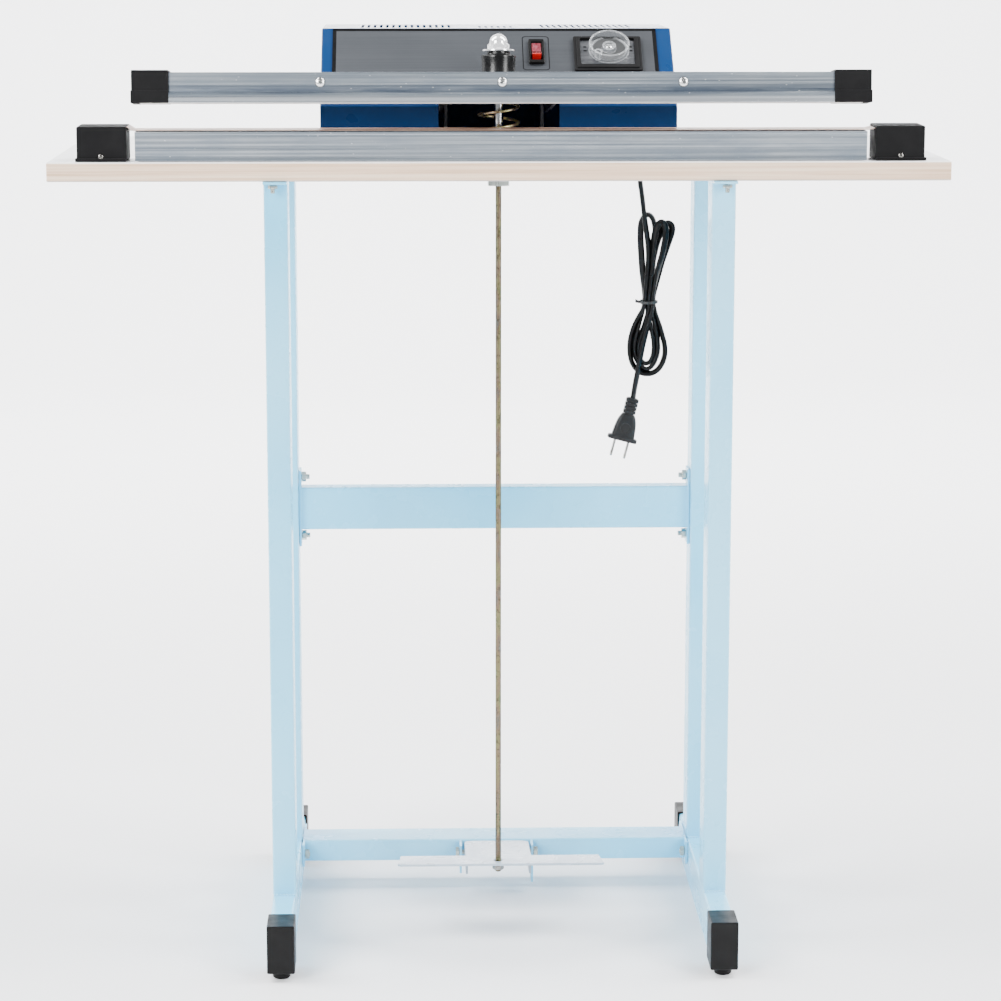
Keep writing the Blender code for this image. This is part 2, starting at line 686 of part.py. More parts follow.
def build_buffer(frame, materials):
    """Rubber buffer, washer and acorn nut, stacked on the arm over the pull bar."""
    bore = 0.007
    body, neck, rim = 0.0146, 0.0097, 0.0135
    bottom = ARM_TOP + GAP
    shoulder = bottom + 0.0202
    top = shoulder + 0.0031
    edge = 0.0006
    profile = (
        (bore, bottom),
        (body - edge, bottom),
        (body, bottom + edge),
        (body, shoulder - edge),
        (body - edge, shoulder),
        (neck, shoulder),
        (neck, top),
        (bore, top),
    )
    turned("rubber_buffer", profile, (0, BUFFER_Y, 0), "Z", 28, (), materials["rubber"], frame)

    washer = 0.0013
    low, high = top + GAP, top + GAP + washer
    hole = 0.0045
    profile = ((hole, low), (rim, low), (rim, high), (hole, high))
    turned("buffer_washer", profile, (0, BUFFER_Y, 0), "Z", 28, (), materials["zinc_bright"], frame)

    flats = 0.0080
    dome = 0.0075
    base = high + GAP
    hex_top = base + 0.0050
    rows = [(0, base), (flats, base), (flats, hex_top), (dome, hex_top + 0.0004)]
    steps = 4
    for step in range(1, steps):
        angle = math.pi / 2 * step / steps
        rows.append((dome * math.cos(angle), hex_top + 0.0004 + dome * math.sin(angle)))
    rows.append((0, hex_top + 0.0004 + dome))
    turned("acorn_nut", rows, (0, BUFFER_Y, 0), "Z", 24, (1, 2), materials["chrome"], frame)


def build_pivot(materials):
    """The bracket on the table that carries the arm on two short bolts, each with its nut inside."""
    outer = ARM_HALF_WIDTH - ARM_SHEET - 0.0015
    inner = outer - ARM_SHEET
    bottom = TABLE_TOP + GAP
    top = 0.7245
    section = [
        (-outer, bottom),
        (outer, bottom),
        (outer, top),
        (inner, top),
        (inner, bottom + ARM_SHEET),
        (-inner, bottom + ARM_SHEET),
        (-inner, top),
        (-outer, top),
    ]
    half = 0.017
    bracket = prism("pivot_bracket", section, "Y", PIVOT.y - half, PIVOT.y + half, materials["arm_steel"])
    for x in (-outer, outer):
        start, end = (x - 0.01, PIVOT.y, PIVOT.z), (x + 0.01, PIVOT.y, PIVOT.z)
        drill(bracket, SHAFT_RADIUS + GAP, start, end, "X", 20)
    head, head_start, head_end = 0.0046, ARM_HALF_WIDTH + 0.0005, ARM_HALF_WIDTH + 0.0028
    tip, nut_end, nut_start, flats = inner - 0.0080, inner - 0.0043, inner - GAP, 0.0040
    rows = (
        (0, tip),
        (SHAFT_RADIUS, tip),
        (SHAFT_RADIUS, nut_end),
        (flats, nut_end),
        (flats, nut_start),
        (SHAFT_RADIUS, nut_start),
        (SHAFT_RADIUS, head_start),
        (head, head_start),
        (head, head_end),
        (0, head_end),
    )
    for word, side, hexagon in (("left", -1, (5, 6)), ("right", 1, (3, 4))):
        profile = tuple((radius, side * along) for radius, along in rows[::side])
        turned(f"pivot_bolt_{word}", profile, PIVOT, "X", 24, hexagon, materials["zinc_bright"])


# Pull rod, spring, guide and pedal


def build_pull_rod(frame, materials):
    edge = 0.0005
    for name, radius, (low, high), finish in (
        ("draw_bar", BAR_RADIUS, BAR_Z, "zinc_bright"),
        ("pedal_rod", ROD_RADIUS, ROD_Z, "zinc_yellow"),
    ):
        profile = (
            (0, low),
            (radius - edge, low),
            (radius, low + edge),
            (radius, high - edge),
            (radius - edge, high),
            (0, high),
        )
        turned(name, profile, (0, ROD_Y, 0), "Z", 16, (), materials[finish], frame)
    low, high = 0.0521, 0.0565
    bore, flats = ROD_RADIUS + GAP, 0.0044
    profile = ((bore, low), (flats, low), (flats, high), (bore, high))
    turned("rod_nut", profile, (0, ROD_Y, 0), "Z", 12, (1, 2), materials["zinc"], frame)


def build_spring(materials):
    """The coil spring round the pull bar, with its last half turns lying flat."""
    points_per_turn = 18
    count = round(SPRING_TURNS * points_per_turn)
    flat = 0.5
    bottom, top = SPRING_Z
    rise = (top - bottom) / (SPRING_TURNS - 2 * flat)
    curve = bpy.data.curves.new("return_spring", "CURVE")
    curve.dimensions = "3D"
    curve.bevel_depth = SPRING_WIRE
    curve.bevel_resolution = 1
    curve.use_fill_caps = True
    path = curve.splines.new("POLY")
    path.points.add(count)
    for number, point in enumerate(path.points):
        turn = number / points_per_turn
        height = rise * min(max(turn - flat, 0.0), SPRING_TURNS - 2 * flat)
        angle = 2 * math.pi * turn + math.pi
        x, y = SPRING_RADIUS * math.cos(angle), SPRING_RADIUS * math.sin(angle)
        point.co = (x, y, height, 1.0)
    curve.materials.append(materials["zinc_yellow"])
    spring = bpy.data.objects.new("return_spring", curve)
    spring.location = (0, ROD_Y, bottom)
    bpy.context.collection.objects.link(spring)


def build_rod_guide(materials):
    top = TABLE_UNDERSIDE - GAP
    half = 0.009
    outline = rounded_rectangle((-half, ROD_Y - half), (half, ROD_Y + half), 0.002)
    guide = prism("rod_guide", outline, "Z", top - 0.0085, top, materials["zinc"])
    drill(guide, BAR_RADIUS + 0.0006, (0, ROD_Y, top - 0.02), (0, ROD_Y, top + 0.01), "Z", 20)


def build_pedal(frame, materials):
    """A T-shaped sheet pedal with flanges along its arm; positions count from its pivot."""
    back_edge, front_edge = -0.073, -0.115
    rear = 0.002
    corner = 0.008
    taper = 0.0025
    clip = 0.003
    left, right = PEDAL_PLATE_X
    arm_left, arm_right = PEDAL_ARM_X - PEDAL_ARM_HALF_WIDTH, PEDAL_ARM_X + PEDAL_ARM_HALF_WIDTH
    outline = [(right - clip, front_edge), (right, front_edge + clip), (right - taper, back_edge)]
    outline += [(arm_right, back_edge)]
    outline += arc((arm_right - corner, rear - corner), corner, 0, 90, 4)
    outline += arc((arm_left + corner, rear - corner), corner, 90, 180, 4)
    outline += [(arm_left, back_edge), (left + taper, back_edge)]
    outline += [(left, front_edge + clip), (left + clip, front_edge)]
    world = [(x, PEDAL_PIVOT.y + y) for x, y in outline]
    top = PEDAL_PIVOT.z + PEDAL_TOP
    sheet = prism("pedal", world, "Z", top - PEDAL_SHEET, top, materials["stand_paint"], frame)
    lug = 0.007
    for side in (-1, 1):
        ends = (PEDAL_ARM_HALF_WIDTH, PEDAL_ARM_HALF_WIDTH - PEDAL_SHEET)
        xs = sorted(PEDAL_ARM_X + side * x for x in ends)
        low = (xs[0], PEDAL_PIVOT.y + back_edge + 0.001, PEDAL_PIVOT.z - lug)
        high = (xs[1], PEDAL_PIVOT.y + rear - corner, top - PEDAL_SHEET / 2)
        weld(sheet, box(f"pedal_flange_{side}", low, high, parent=frame))
        low = (xs[0], PEDAL_PIVOT.y - lug, PEDAL_PIVOT.z - lug)
        high = (xs[1], PEDAL_PIVOT.y + lug, PEDAL_PIVOT.z + lug - 0.001)
        weld(sheet, box(f"pedal_lug_{side}", low, high, parent=frame))
        ends = [(x, PEDAL_PIVOT.y, PEDAL_PIVOT.z) for x in (xs[0] - 0.01, xs[1] + 0.01)]
        drill(sheet, BOLT_RADIUS + 0.0004, *ends, "X", 16, frame)
    slot_y = ROD_Y - 0.0008
    slot_x, slot_half = 0.0040, 0.0060
    slot = rounded_rectangle((-slot_x, slot_y - slot_half), (slot_x, slot_y + slot_half), slot_x - 0.0002, 4)
    cut(sheet, prism("pedal_slot", slot, "Z", top - 0.01, top + 0.01, parent=frame))


def build_pedal_pin(materials):
    head, head_start = 0.0042, PEDAL_EAR_INNER + PEDAL_SHEET + GAP
    head_end, nut_end = head_start + 0.0032, head_start + 0.0040
    profile = (
        (0, -head_end),
        (head, -head_end),
        (head, -head_start),
        (BOLT_RADIUS, -head_start),
        (BOLT_RADIUS, head_start),
        (head, head_start),
        (head, nut_end),
        (0, nut_end),
    )
    middle = PEDAL_PIVOT + Vector((PEDAL_ARM_X, 0, 0))
    turned("pedal_pivot_pin", profile, middle, "X", 12, (1, 2, 5, 6), materials["zinc"])


# Housing and its controls


def housing_outline(inset):
    """The housing's side view, moved in by the sheet's thickness; the floor stays open."""
    front, slope_top, back = HOUSING_FRONT, HOUSING_SLOPE_TOP, HOUSING_BACK
    floor = TABLE_TOP + GAP - (0.01 if inset else 0.0)
    ease = inset * math.tan(PANEL_ANGLE / 2)
    foot_ease = inset * math.tan((math.pi / 2 - PANEL_ANGLE) / 2)
    return [
        (front + inset, floor),
        (front + inset, HOUSING_SLOPE_Z - foot_ease),
        (slope_top + ease, HOUSING_TOP - inset),
        (back - inset, HOUSING_TOP - inset),
        (back - inset, floor),
    ]


def build_housing(panel, materials):
    half = HOUSING_HALF_WIDTH
    shell = prism("housing", housing_outline(0.0), "X", -half, half, materials["housing_paint"])
    bevel(shell, 0.0012, 2)
    inner_half = half - HOUSING_SHEET
    cut(shell, prism("housing_room", housing_outline(HOUSING_SHEET), "X", -inner_half, inner_half))
    mouth_x, mouth_top = HOUSING_MOUTH
    low = (-mouth_x, HOUSING_FRONT - 0.01, TABLE_TOP - 0.01)
    cut(shell, box("housing_mouth", low, (mouth_x, HOUSING_FRONT + 0.048, mouth_top)))
    cut_louvres(shell)
    x, u = SWITCH_CENTRE
    body_x, body_u = switch_body_half_size()
    low, high = (x - body_x - GAP, u - body_u - GAP, -0.01), (x + body_x + GAP, u + body_u + GAP, 0.01)
    cut(shell, box("switch_cutout", low, high, parent=panel))
    x, u = KNOB_CENTRE
    drill(shell, 0.0060, (x, u, -0.01), (x, u, 0.01), "Z", 20, panel)


def cut_louvres(shell):
    """Vent slots that run front to back through the top: two wide groups and a small one."""
    half_width = 0.0011
    pitch = 0.0054
    groups = (
        ("left", -0.1160, 15, 0.018, 0.088),
        ("middle", -0.0135, 6, 0.018, 0.052),
        ("right", 0.0415, 15, 0.018, 0.088),
    )
    for word, first_x, count, start, end in groups:
        builder = bmesh.new()
        size = (2 * half_width, end - start, 0.02)
        middle_y = HOUSING_SLOPE_TOP + (start + end) / 2
        for number in range(count):
            made = bmesh.ops.create_cube(builder, size=1.0)["verts"]
            bmesh.ops.scale(builder, vec=size, verts=made)
            centre = (first_x + number * pitch, middle_y, HOUSING_TOP)
            bmesh.ops.translate(builder, vec=centre, verts=made)
        cut(shell, add_object(f"louvres_{word}", builder, None))


def build_label(panel, materials):
    left, right = LABEL_X
    bottom, top = LABEL_U
    notch_x, notch_top = LABEL_NOTCH
    outline = [
        (left, bottom),
        (-notch_x, bottom),
        (-notch_x, notch_top),
        (notch_x, notch_top),
        (notch_x, bottom),
        (right, bottom),
        (right, top),
        (left, top),
    ]
    label = prism("control_label", outline, "Z", GAP, GAP + LABEL_THICKNESS, materials["label"], panel)
    x, u = SWITCH_CENTRE
    body_x, body_u = switch_body_half_size()
    low, high = (x - body_x - GAP, u - body_u - GAP, -0.01), (x + body_x + GAP, u + body_u + GAP, 0.01)
    cut(label, box("label_switch_hole", low, high, parent=panel))
    x, u = KNOB_CENTRE
    drill(label, 0.0060, (x, u, -0.01), (x, u, 0.01), "Z", 20, panel)


def switch_body_half_size():
    width, height = SWITCH_SIZE
    rim = 0.0010
    return width / 2 - rim, height / 2 - rim


def build_switch(panel, materials):
    """A rocker switch: its bezel on the label, its body behind, and a well for the rocker."""
    x, u = SWITCH_CENTRE
    width, height = SWITCH_SIZE
    seat = GAP + LABEL_THICKNESS + GAP
    face = seat + 0.0018
    low, high = (x - width / 2, u - height / 2, seat), (x + width / 2, u + height / 2, face)
    switch = box("switch_body", low, high, materials["switch_plastic"], panel)
    bevel(switch, 0.0006)
    body_x, body_u = switch_body_half_size()
    depth = 0.0130
    low, high = (x - body_x, u - body_u, -depth), (x + body_x, u + body_u, seat + 0.0005)
    weld(switch, box("switch_box", low, high, parent=panel))
    well_x, well_u = ROCKER_SIZE[0] / 2 + 0.0004, ROCKER_SIZE[1] / 2 + 0.0006
    low, high = (x - well_x, u - well_u, -0.0070), (x + well_x, u + well_u, face + 0.01)
    cut(switch, box("switch_well", low, high, parent=panel))

    tilt = add_frame("rocker_axis", (x, u, 0.0), -ROCKER_ANGLE, panel)
    half_x, half_u = ROCKER_SIZE[0] / 2, ROCKER_SIZE[1] / 2 - 0.0012
    rise = 0.0052
    dip = 0.0014
    outline = [
        (u - half_u, rise),
        (u - half_u, -0.001),
        (u - 0.003, -0.0045),
        (u + 0.003, -0.0045),
        (u + half_u, -0.001),
        (u + half_u, rise),
        (u, rise - dip),
    ]
    rocker = prism("power_rocker", outline, "X", x - half_x, x + half_x, materials["rocker_red"], tilt)
    bevel(rocker, 0.0004)


def build_timer(panel, materials):
    """The timer: a bezel plate in front of the panel, a neck through it and a body behind."""
    x, u = TIMER_CENTRE
    width, height = TIMER_SIZE
    seat = GAP + LABEL_THICKNESS + GAP
    face = seat + 0.0015
    low, high = (x - width / 2, u - height / 2, seat), (x + width / 2, u + height / 2, face)
    timer = box("timer_body", low, high, materials["box_plastic"], panel)
    bevel(timer, 0.0006)
    knob_x, knob_u = KNOB_CENTRE
    back_face = -HOUSING_SHEET - GAP
    neck = ((0, back_face - 0.001), (0.0055, back_face - 0.001), (0.0055, seat + 0.0005), (0, seat + 0.0005))
    weld(timer, turned("timer_neck", neck, (knob_x, knob_u, 0), "Z", 20, parent=panel))
    half, depth = 0.019, 0.024
    low, high = (x - half, u - half, back_face - depth), (x + half, u + half, back_face)
    weld(timer, box("timer_box", low, high, parent=panel))

    axis = add_frame("knob_axis", (knob_x, knob_u, 0.0), 0.0, panel)
    bottom = face + 0.0005
    skirt, top, hub = bottom + 0.0015, bottom + 0.0080, bottom + 0.0086
    profile = (
        (0, bottom),
        (KNOB_RADIUS, bottom),
        (KNOB_RADIUS, skirt),
        (KNOB_RADIUS - 0.0008, skirt + 0.0004),
        (KNOB_RADIUS - 0.0012, top - 0.0008),
        (KNOB_RADIUS - 0.0020, top),
        (0.0048, top),
        (0.0044, hub),
        (0, hub),
    )
    turned("timer_knob", profile, (knob_x, knob_u, 0), "Z", 40, (), materials["clear_plastic"], axis)


def build_transformer(materials):
    """A laminated core with two windows, and the coil wound through them."""
    x, y = -0.100, FRONT + 0.205
    bottom = TABLE_TOP + GAP
    width, height, thick = 0.066, 0.055, 0.028
    leg, yoke = 0.011, 0.011
    low = (x - width / 2, y - thick / 2, bottom)
    core = box("transformer_core", low, (x + width / 2, y + thick / 2, bottom + height), materials["core"])
    for side in (-1, 1):
        xs = sorted((x + side * leg, x + side * (width / 2 - leg)))
        low = (xs[0], y - thick, bottom + yoke)
        cut(core, box(f"core_window_{side}", low, (xs[1], y + thick, bottom + height - yoke)))
    outer_x, outer_y = width / 2 - leg - GAP, thick / 2 + 0.0100
    inner_x, inner_y = leg + GAP, thick / 2 + GAP
    outer = rounded_rectangle((x - outer_x, y - outer_y), (x + outer_x, y + outer_y), 0.004)
    hole = rounded_rectangle((x - inner_x, y - inner_y), (x + inner_x, y + inner_y), 0.0002)
    start, end = bottom + yoke + GAP, bottom + height - yoke - GAP
    prism("transformer_coil", outer, "Z", start, end, materials["winding"], hole=hole)


# Mains cord


def build_cord_run(name, route, materials):
    """A plain tube along a smooth curve through the route's points."""
    steps = 3
    points = [Vector((x, CORD_Y, z)) for x, z in route]
    padded = [2 * points[0] - points[1]] + points + [2 * points[-1] - points[-2]]
    path = []
    for first, start, end, last in zip(padded, padded[1:], padded[2:], padded[3:]):
        for step in range(steps):
            t = step / steps
            a = 2 * start
            b = (end - first) * t
            c = (2 * first - 5 * start + 4 * end - last) * t**2
            d = (3 * start - first - 3 * end + last) * t**3
            path.append((a + b + c + d) / 2)
    path.append(points[-1])
    curve = bpy.data.curves.new(name, "CURVE")
    curve.dimensions = "3D"
    curve.bevel_depth = CORD_RADIUS
    curve.bevel_resolution = 2
    curve.use_fill_caps = True
    spline = curve.splines.new("POLY")
    spline.points.add(len(path) - 1)
    for point, place in zip(spline.points, path):
        point.co = (*place, 1.0)
    curve.materials.append(materials["cord"])
    bpy.context.collection.objects.link(bpy.data.objects.new(name, curve))


def build_cord(materials):
    """Gland, lead, folded hank, tail and plug."""
    flange, neck = 0.0085, 0.0060
    top = TABLE_UNDERSIDE - GAP
    profile = (
        (0, GLAND_BOTTOM),
        (neck, GLAND_BOTTOM),
        (neck + 0.0005, top - 0.003),
        (flange, top - 0.0025),
        (flange, top),
        (0, top),
    )
    turned("cord_gland", profile, (CORD_X, CORD_Y, 0), "Z", 20, (), materials["cord"])
    build_cord_run("cord_lead", LEAD_ROUTE, materials)
    build_cord_run("cord_tail", TAIL_ROUTE, materials)

    run = Vector(HANK_TOP) - Vector(HANK_BOTTOM)
    lean = math.degrees(math.atan2(run.y, run.x))
    steps = 16
    outline = arc(HANK_TOP, HANK_RADIUS, lean - 90, lean + 90, steps)
    outline += arc(HANK_BOTTOM, HANK_RADIUS, lean + 90, lean + 270, steps)
    half = HANK_THICKNESS / 2
    prism("cord_hank", outline, "Y", CORD_Y - half, CORD_Y + half, materials["cord"])
    build_plug(materials)


def build_plug(materials):
    """A two-blade plug; its outline counts down its axis from the cord's end."""
    x, z = TAIL_ROUTE[-1]
    start = Vector((math.sin(PLUG_TILT), math.cos(PLUG_TILT))) * -GAP
    half = [
        (0.0045, 0.0),
        (0.0052, -0.0010),
        (0.0052, -0.0145),
        (0.0080, -0.0205),
        (0.0096, -0.0270),
        (0.0105, -0.0367),
        (0.0136, -0.0367),
        (0.0136, -0.0400),
    ]
    outline = half + [(-a, b) for a, b in reversed(half)]
    thick = 0.0055
    plug = prism("plug", outline, "Y", -thick, thick, materials["plug"])
    blade_x, blade_thick, blade_width, blade_end = 0.00625, 0.0015, 0.0063, -0.0560
    for side in (-1, 1):
        low = (side * blade_x - blade_thick / 2, -blade_width / 2, blade_end)
        high = (side * blade_x + blade_thick / 2, blade_width / 2, -0.039)
        blade = box(f"plug_blade_{side}", low, high)
        centre = blade.location.copy()
        blade.parent = plug
        blade.location = centre
        weld(plug, blade)
    plug.location = (x + start.x, CORD_Y, z + start.y)
    plug.rotation_euler = (0.0, PLUG_TILT, 0.0)


def main():
    clear_scene()
    materials = {
        "melamine": make_material("melamine", (0.80, 0.78, 0.76), 0.45),
        "stand_paint": make_material("stand_paint", (0.52, 0.70, 0.78), 0.30),
        "cap_plastic": make_material("cap_plastic", (0.015, 0.015, 0.015), 0.55),
        "zinc": make_material("zinc", (0.45, 0.47, 0.44), 0.35, 1.0),
        "zinc_bright": make_material("zinc_bright", (0.75, 0.75, 0.74), 0.18, 1.0),
        "zinc_yellow": make_material("zinc_yellow", (0.42, 0.33, 0.18), 0.40, 1.0),
        "chrome": make_material("chrome", (0.90, 0.90, 0.90), 0.06, 1.0),
        "aluminium": make_material("aluminium", (0.60, 0.63, 0.66), 0.38, 1.0),
        "ribbon": make_material("ribbon", (0.50, 0.48, 0.46), 0.35, 1.0),
        "ptfe": make_material("ptfe", (0.32, 0.18, 0.12), 0.50),
        "silicone": make_material("silicone", (0.75, 0.74, 0.72), 0.60),
        "box_plastic": make_material("box_plastic", (0.02, 0.02, 0.022), 0.45),
        "brass": make_material("brass", (0.70, 0.50, 0.22), 0.35, 1.0),
        "arm_steel": make_material("arm_steel", (0.10, 0.10, 0.11), 0.45, 0.6),
        "rubber": make_material("rubber", (0.015, 0.015, 0.017), 0.60),
        "housing_paint": make_material("housing_paint", (0.016, 0.13, 0.37), 0.30),
        "label": make_material("label", (0.18, 0.20, 0.24), 0.35, 0.5),
        "switch_plastic": make_material("switch_plastic", (0.01, 0.01, 0.01), 0.40),
        "rocker_red": make_material("rocker_red", (0.80, 0.03, 0.02), 0.20),
        "clear_plastic": make_material("clear_plastic", (0.90, 0.92, 0.93), 0.08, 0.0, 0.8),
        "core": make_material("core", (0.12, 0.11, 0.10), 0.55, 0.8),
        "winding": make_material("winding", (0.55, 0.42, 0.10), 0.55),
        "cord": make_material("cord", (0.012, 0.012, 0.013), 0.50),
        "plug": make_material("plug", (0.04, 0.043, 0.046), 0.50),
    }

    build_table(materials)
    build_side_frames(materials)
    build_crossbars(materials)

    build_lower_jaw(materials)
    for side, word in ((-1, "left"), (1, "right")):
        build_terminal_box(word, side, materials)
    build_pivot(materials)
    arm_frame = add_frame("arm_pivot", PIVOT, -OPEN_ANGLE)
    build_arm(arm_frame, materials)
    build_upper_jaw(arm_frame, materials)
    build_buffer(arm_frame, materials)

    build_pull_rod(add_frame("rod_axis", (0.0, ROD_Y, 0.0)), materials)
    build_spring(materials)
    build_rod_guide(materials)
    build_pedal(add_frame("pedal_pivot", PEDAL_PIVOT, -PEDAL_ANGLE), materials)
    build_pedal_pin(materials)

    panel = add_frame("panel_frame", (0.0, 0.0, 0.0), PANEL_ANGLE)
    panel.location = (0.0, HOUSING_FRONT, HOUSING_SLOPE_Z)
    build_housing(panel, materials)
    build_label(panel, materials)
    build_switch(panel, materials)
    build_timer(panel, materials)
    build_transformer(materials)

    build_cord(materials)


main()
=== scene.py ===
"""Looks of the foot-pedal impulse sealer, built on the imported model. Metres, +Z up, -Y is the front."""

import json
import math

import bmesh
import bpy
import numpy as np
from mathutils import Matrix, Vector


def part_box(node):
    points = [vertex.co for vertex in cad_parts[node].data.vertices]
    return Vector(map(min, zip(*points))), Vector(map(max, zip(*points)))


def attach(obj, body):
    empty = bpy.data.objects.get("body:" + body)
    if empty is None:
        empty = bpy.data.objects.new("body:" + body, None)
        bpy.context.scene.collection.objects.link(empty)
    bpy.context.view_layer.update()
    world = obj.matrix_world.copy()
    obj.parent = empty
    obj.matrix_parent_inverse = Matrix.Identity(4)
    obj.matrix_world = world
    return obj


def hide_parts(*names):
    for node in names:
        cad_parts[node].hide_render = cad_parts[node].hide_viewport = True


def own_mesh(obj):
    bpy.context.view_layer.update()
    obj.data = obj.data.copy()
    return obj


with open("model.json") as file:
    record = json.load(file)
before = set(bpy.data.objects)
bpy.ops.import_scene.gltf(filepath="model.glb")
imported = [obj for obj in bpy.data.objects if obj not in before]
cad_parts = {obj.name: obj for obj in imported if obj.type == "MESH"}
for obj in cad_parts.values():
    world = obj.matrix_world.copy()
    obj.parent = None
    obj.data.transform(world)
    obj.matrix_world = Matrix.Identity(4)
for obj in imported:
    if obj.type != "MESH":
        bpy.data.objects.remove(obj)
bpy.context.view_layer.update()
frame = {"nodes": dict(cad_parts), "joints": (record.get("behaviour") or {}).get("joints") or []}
nodes = frame["nodes"]

MM = 0.001
joints = {joint["name"]: joint for joint in frame["joints"]}

# Planes that the CAD tilts: the open arm and the sloped control panel
ARM_PIVOT = Vector(joints["arm_close"]["pos_m"])
ARM_OPEN = math.radians(5.83)
ARM_TOP = 0.7299
BUFFER_Y = -0.0563
BUFFER_HEIGHT = 0.0202
NECK_HEIGHT = 0.0031  # of the buffer's neck above its shoulder
WASHER_HEIGHT = 0.0013
GAP = 0.0003  # between neighbouring pieces
FRONT_LEG = (-0.109, -0.0705)
REAR_LEG = (0.052, 0.0905)
ARM = Matrix.Translation(ARM_PIVOT) @ Matrix.Rotation(-ARM_OPEN, 4, "X") @ Matrix.Translation(-ARM_PIVOT)
PANEL_START = Vector((0.0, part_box("housing")[0].y, 0.725))
PANEL_ANGLE = math.atan2(0.062, 0.082)
PANEL = Matrix.Translation(PANEL_START) @ Matrix.Rotation(PANEL_ANGLE, 4, "X")
LABEL_FACE = 0.0008  # above the panel's sheet
TIMER_FACE = LABEL_FACE + GAP + 0.0015
KNOB_PLACE = (0.0957, 0.0691)
NOWHERE = Matrix.Identity(4)


# Materials


class Look:
    """A Principled material and the texture nodes that feed it, in the piece's own metres."""

    def __init__(self, name, colour, roughness, metallic=0.0, **sockets):
        self.material = bpy.data.materials.new(name)
        self.material.use_nodes = True
        self.tree = self.material.node_tree
        self.shader = self.tree.nodes["Principled BSDF"]
        self.shader.inputs["Base Color"].default_value = (*colour, 1.0)
        self.shader.inputs["Roughness"].default_value = roughness
        self.shader.inputs["Metallic"].default_value = metallic
        for socket, value in sockets.items():
            self.shader.inputs[socket.replace("_", " ")].default_value = value
        self.where = self.add("TexCoord").outputs["Object"]
        self.normal = None

    def add(self, kind, **settings):
        node = self.tree.nodes.new("ShaderNode" + kind)
        for key, value in settings.items():
            setattr(node, key, value)
        return node

    def put(self, socket, value):
        """A number, colour or another node's output into a socket."""
        if isinstance(value, bpy.types.NodeSocket):
            self.tree.links.new(value, socket)
        elif isinstance(value, tuple) and len(value) == 3 and socket.type == "RGBA":
            socket.default_value = (*value, 1.0)
        else:
            socket.default_value = value

    def stretched(self, scale, offset=(0.0, 0.0, 0.0)):
        """Coordinates multiplied by one number or one per axis, so that a texture can run along one."""
        if not isinstance(scale, tuple):
            scale = (scale, scale, scale)
        node = self.add("Mapping")
        self.put(node.inputs["Vector"], self.where)
        self.put(node.inputs["Location"], offset)
        self.put(node.inputs["Scale"], scale)
        return node.outputs["Vector"]

    def noise(self, scale, detail=3.0, roughness=0.55, offset=(0.0, 0.0, 0.0)):
        """Noise from 0 to 1; scale is features per metre, one number or one per axis."""
        node = self.add("TexNoise")
        self.put(node.inputs["Vector"], self.stretched(scale, offset))
        self.put(node.inputs["Scale"], 1.0)
        self.put(node.inputs["Detail"], detail)
        self.put(node.inputs["Roughness"], roughness)
        return node.outputs["Fac"]

    def specks(self, scale, size, offset=(0.0, 0.0, 0.0)):
        """Scattered dots from 0 to 1 that cover a small part of the surface."""
        node = self.add("TexVoronoi")
        self.put(node.inputs["Vector"], self.stretched(scale, offset))
        self.put(node.inputs["Scale"], 1.0)
        return self.ramp(node.outputs["Distance"], (0.0, 1.0), (size, 0.0))

    def ramp(self, value, *stops):
        """Numbers or colours between stops, each (place, what)."""
        node = self.add("ValToRGB")
        ramp = node.color_ramp
        while len(ramp.elements) < len(stops):
            ramp.elements.new(0.5)
        for element, (place, what) in zip(ramp.elements, stops):
            element.position = place
            grey = not isinstance(what, tuple)
            element.color = (what, what, what, 1.0) if grey else (*what, 1.0)
        self.put(node.inputs["Fac"], value)
        return node.outputs["Color"]

    def between(self, value, low, high):
        """value mapped from low..high to 0..1, clamped."""
        node = self.add("MapRange")
        self.put(node.inputs["Value"], value)
        self.put(node.inputs["From Min"], low)
        self.put(node.inputs["From Max"], high)
        return node.outputs["Result"]

    def maths(self, operation, first, second=0.0):
        node = self.add("Math", operation=operation)
        self.put(node.inputs[0], first)
        self.put(node.inputs[1], second)
        return node.outputs[0]

    def times(self, first, second):
        return self.maths("MULTIPLY", first, second)

    def patches(self, noise, start, end, amount=1.0):
        """0 where the noise is below start, rising to amount where it is above end."""
        return self.ramp(noise, (start, 0.0), (end, amount))

    def mix(self, amount, first, second, kind="MIX"):
        node = self.add("Mix", data_type="RGBA", blend_type=kind)
        self.put(node.inputs["Factor"], amount)
        self.put(node.inputs[6], first)
        self.put(node.inputs[7], second)
        return node.outputs[2]

    def axis(self, name):
        node = self.add("SeparateXYZ")
        self.put(node.inputs[0], self.where)
        return node.outputs[name]

    def facing(self, name):
        """One component of the true normal in the object's own directions."""
        node = self.add("SeparateXYZ")
        self.put(node.inputs[0], self.add("TexCoord").outputs["Normal"])
        return node.outputs[name]

    def edges(self, radius):
        """1 along outer and inner edges within a radius, 0 on flats."""
        rounded = self.add("Bevel", samples=6)
        self.put(rounded.inputs["Radius"], radius)
        flat = self.add("NewGeometry").outputs["Normal"]
        dot = self.add("VectorMath", operation="DOT_PRODUCT")
        self.put(dot.inputs[0], rounded.outputs["Normal"])
        self.put(dot.inputs[1], flat)
        return self.between(dot.outputs["Value"], 1.0, 0.7)

    def bump(self, height, strength, distance):
        node = self.add("Bump")
        self.put(node.inputs["Height"], height)
        self.put(node.inputs["Strength"], strength)
        self.put(node.inputs["Distance"], distance)
        if self.normal is not None:
            self.put(node.inputs["Normal"], self.normal)
        self.normal = node.outputs["Normal"]
        self.tree.links.new(self.normal, self.shader.inputs["Normal"])

    def colour(self, value):
        self.put(self.shader.inputs["Base Color"], value)

    def rough(self, pattern, low, high):
        """Roughness from low to high over a pattern."""
        self.put(self.shader.inputs["Roughness"], self.ramp(pattern, (0.3, low), (0.7, high)))


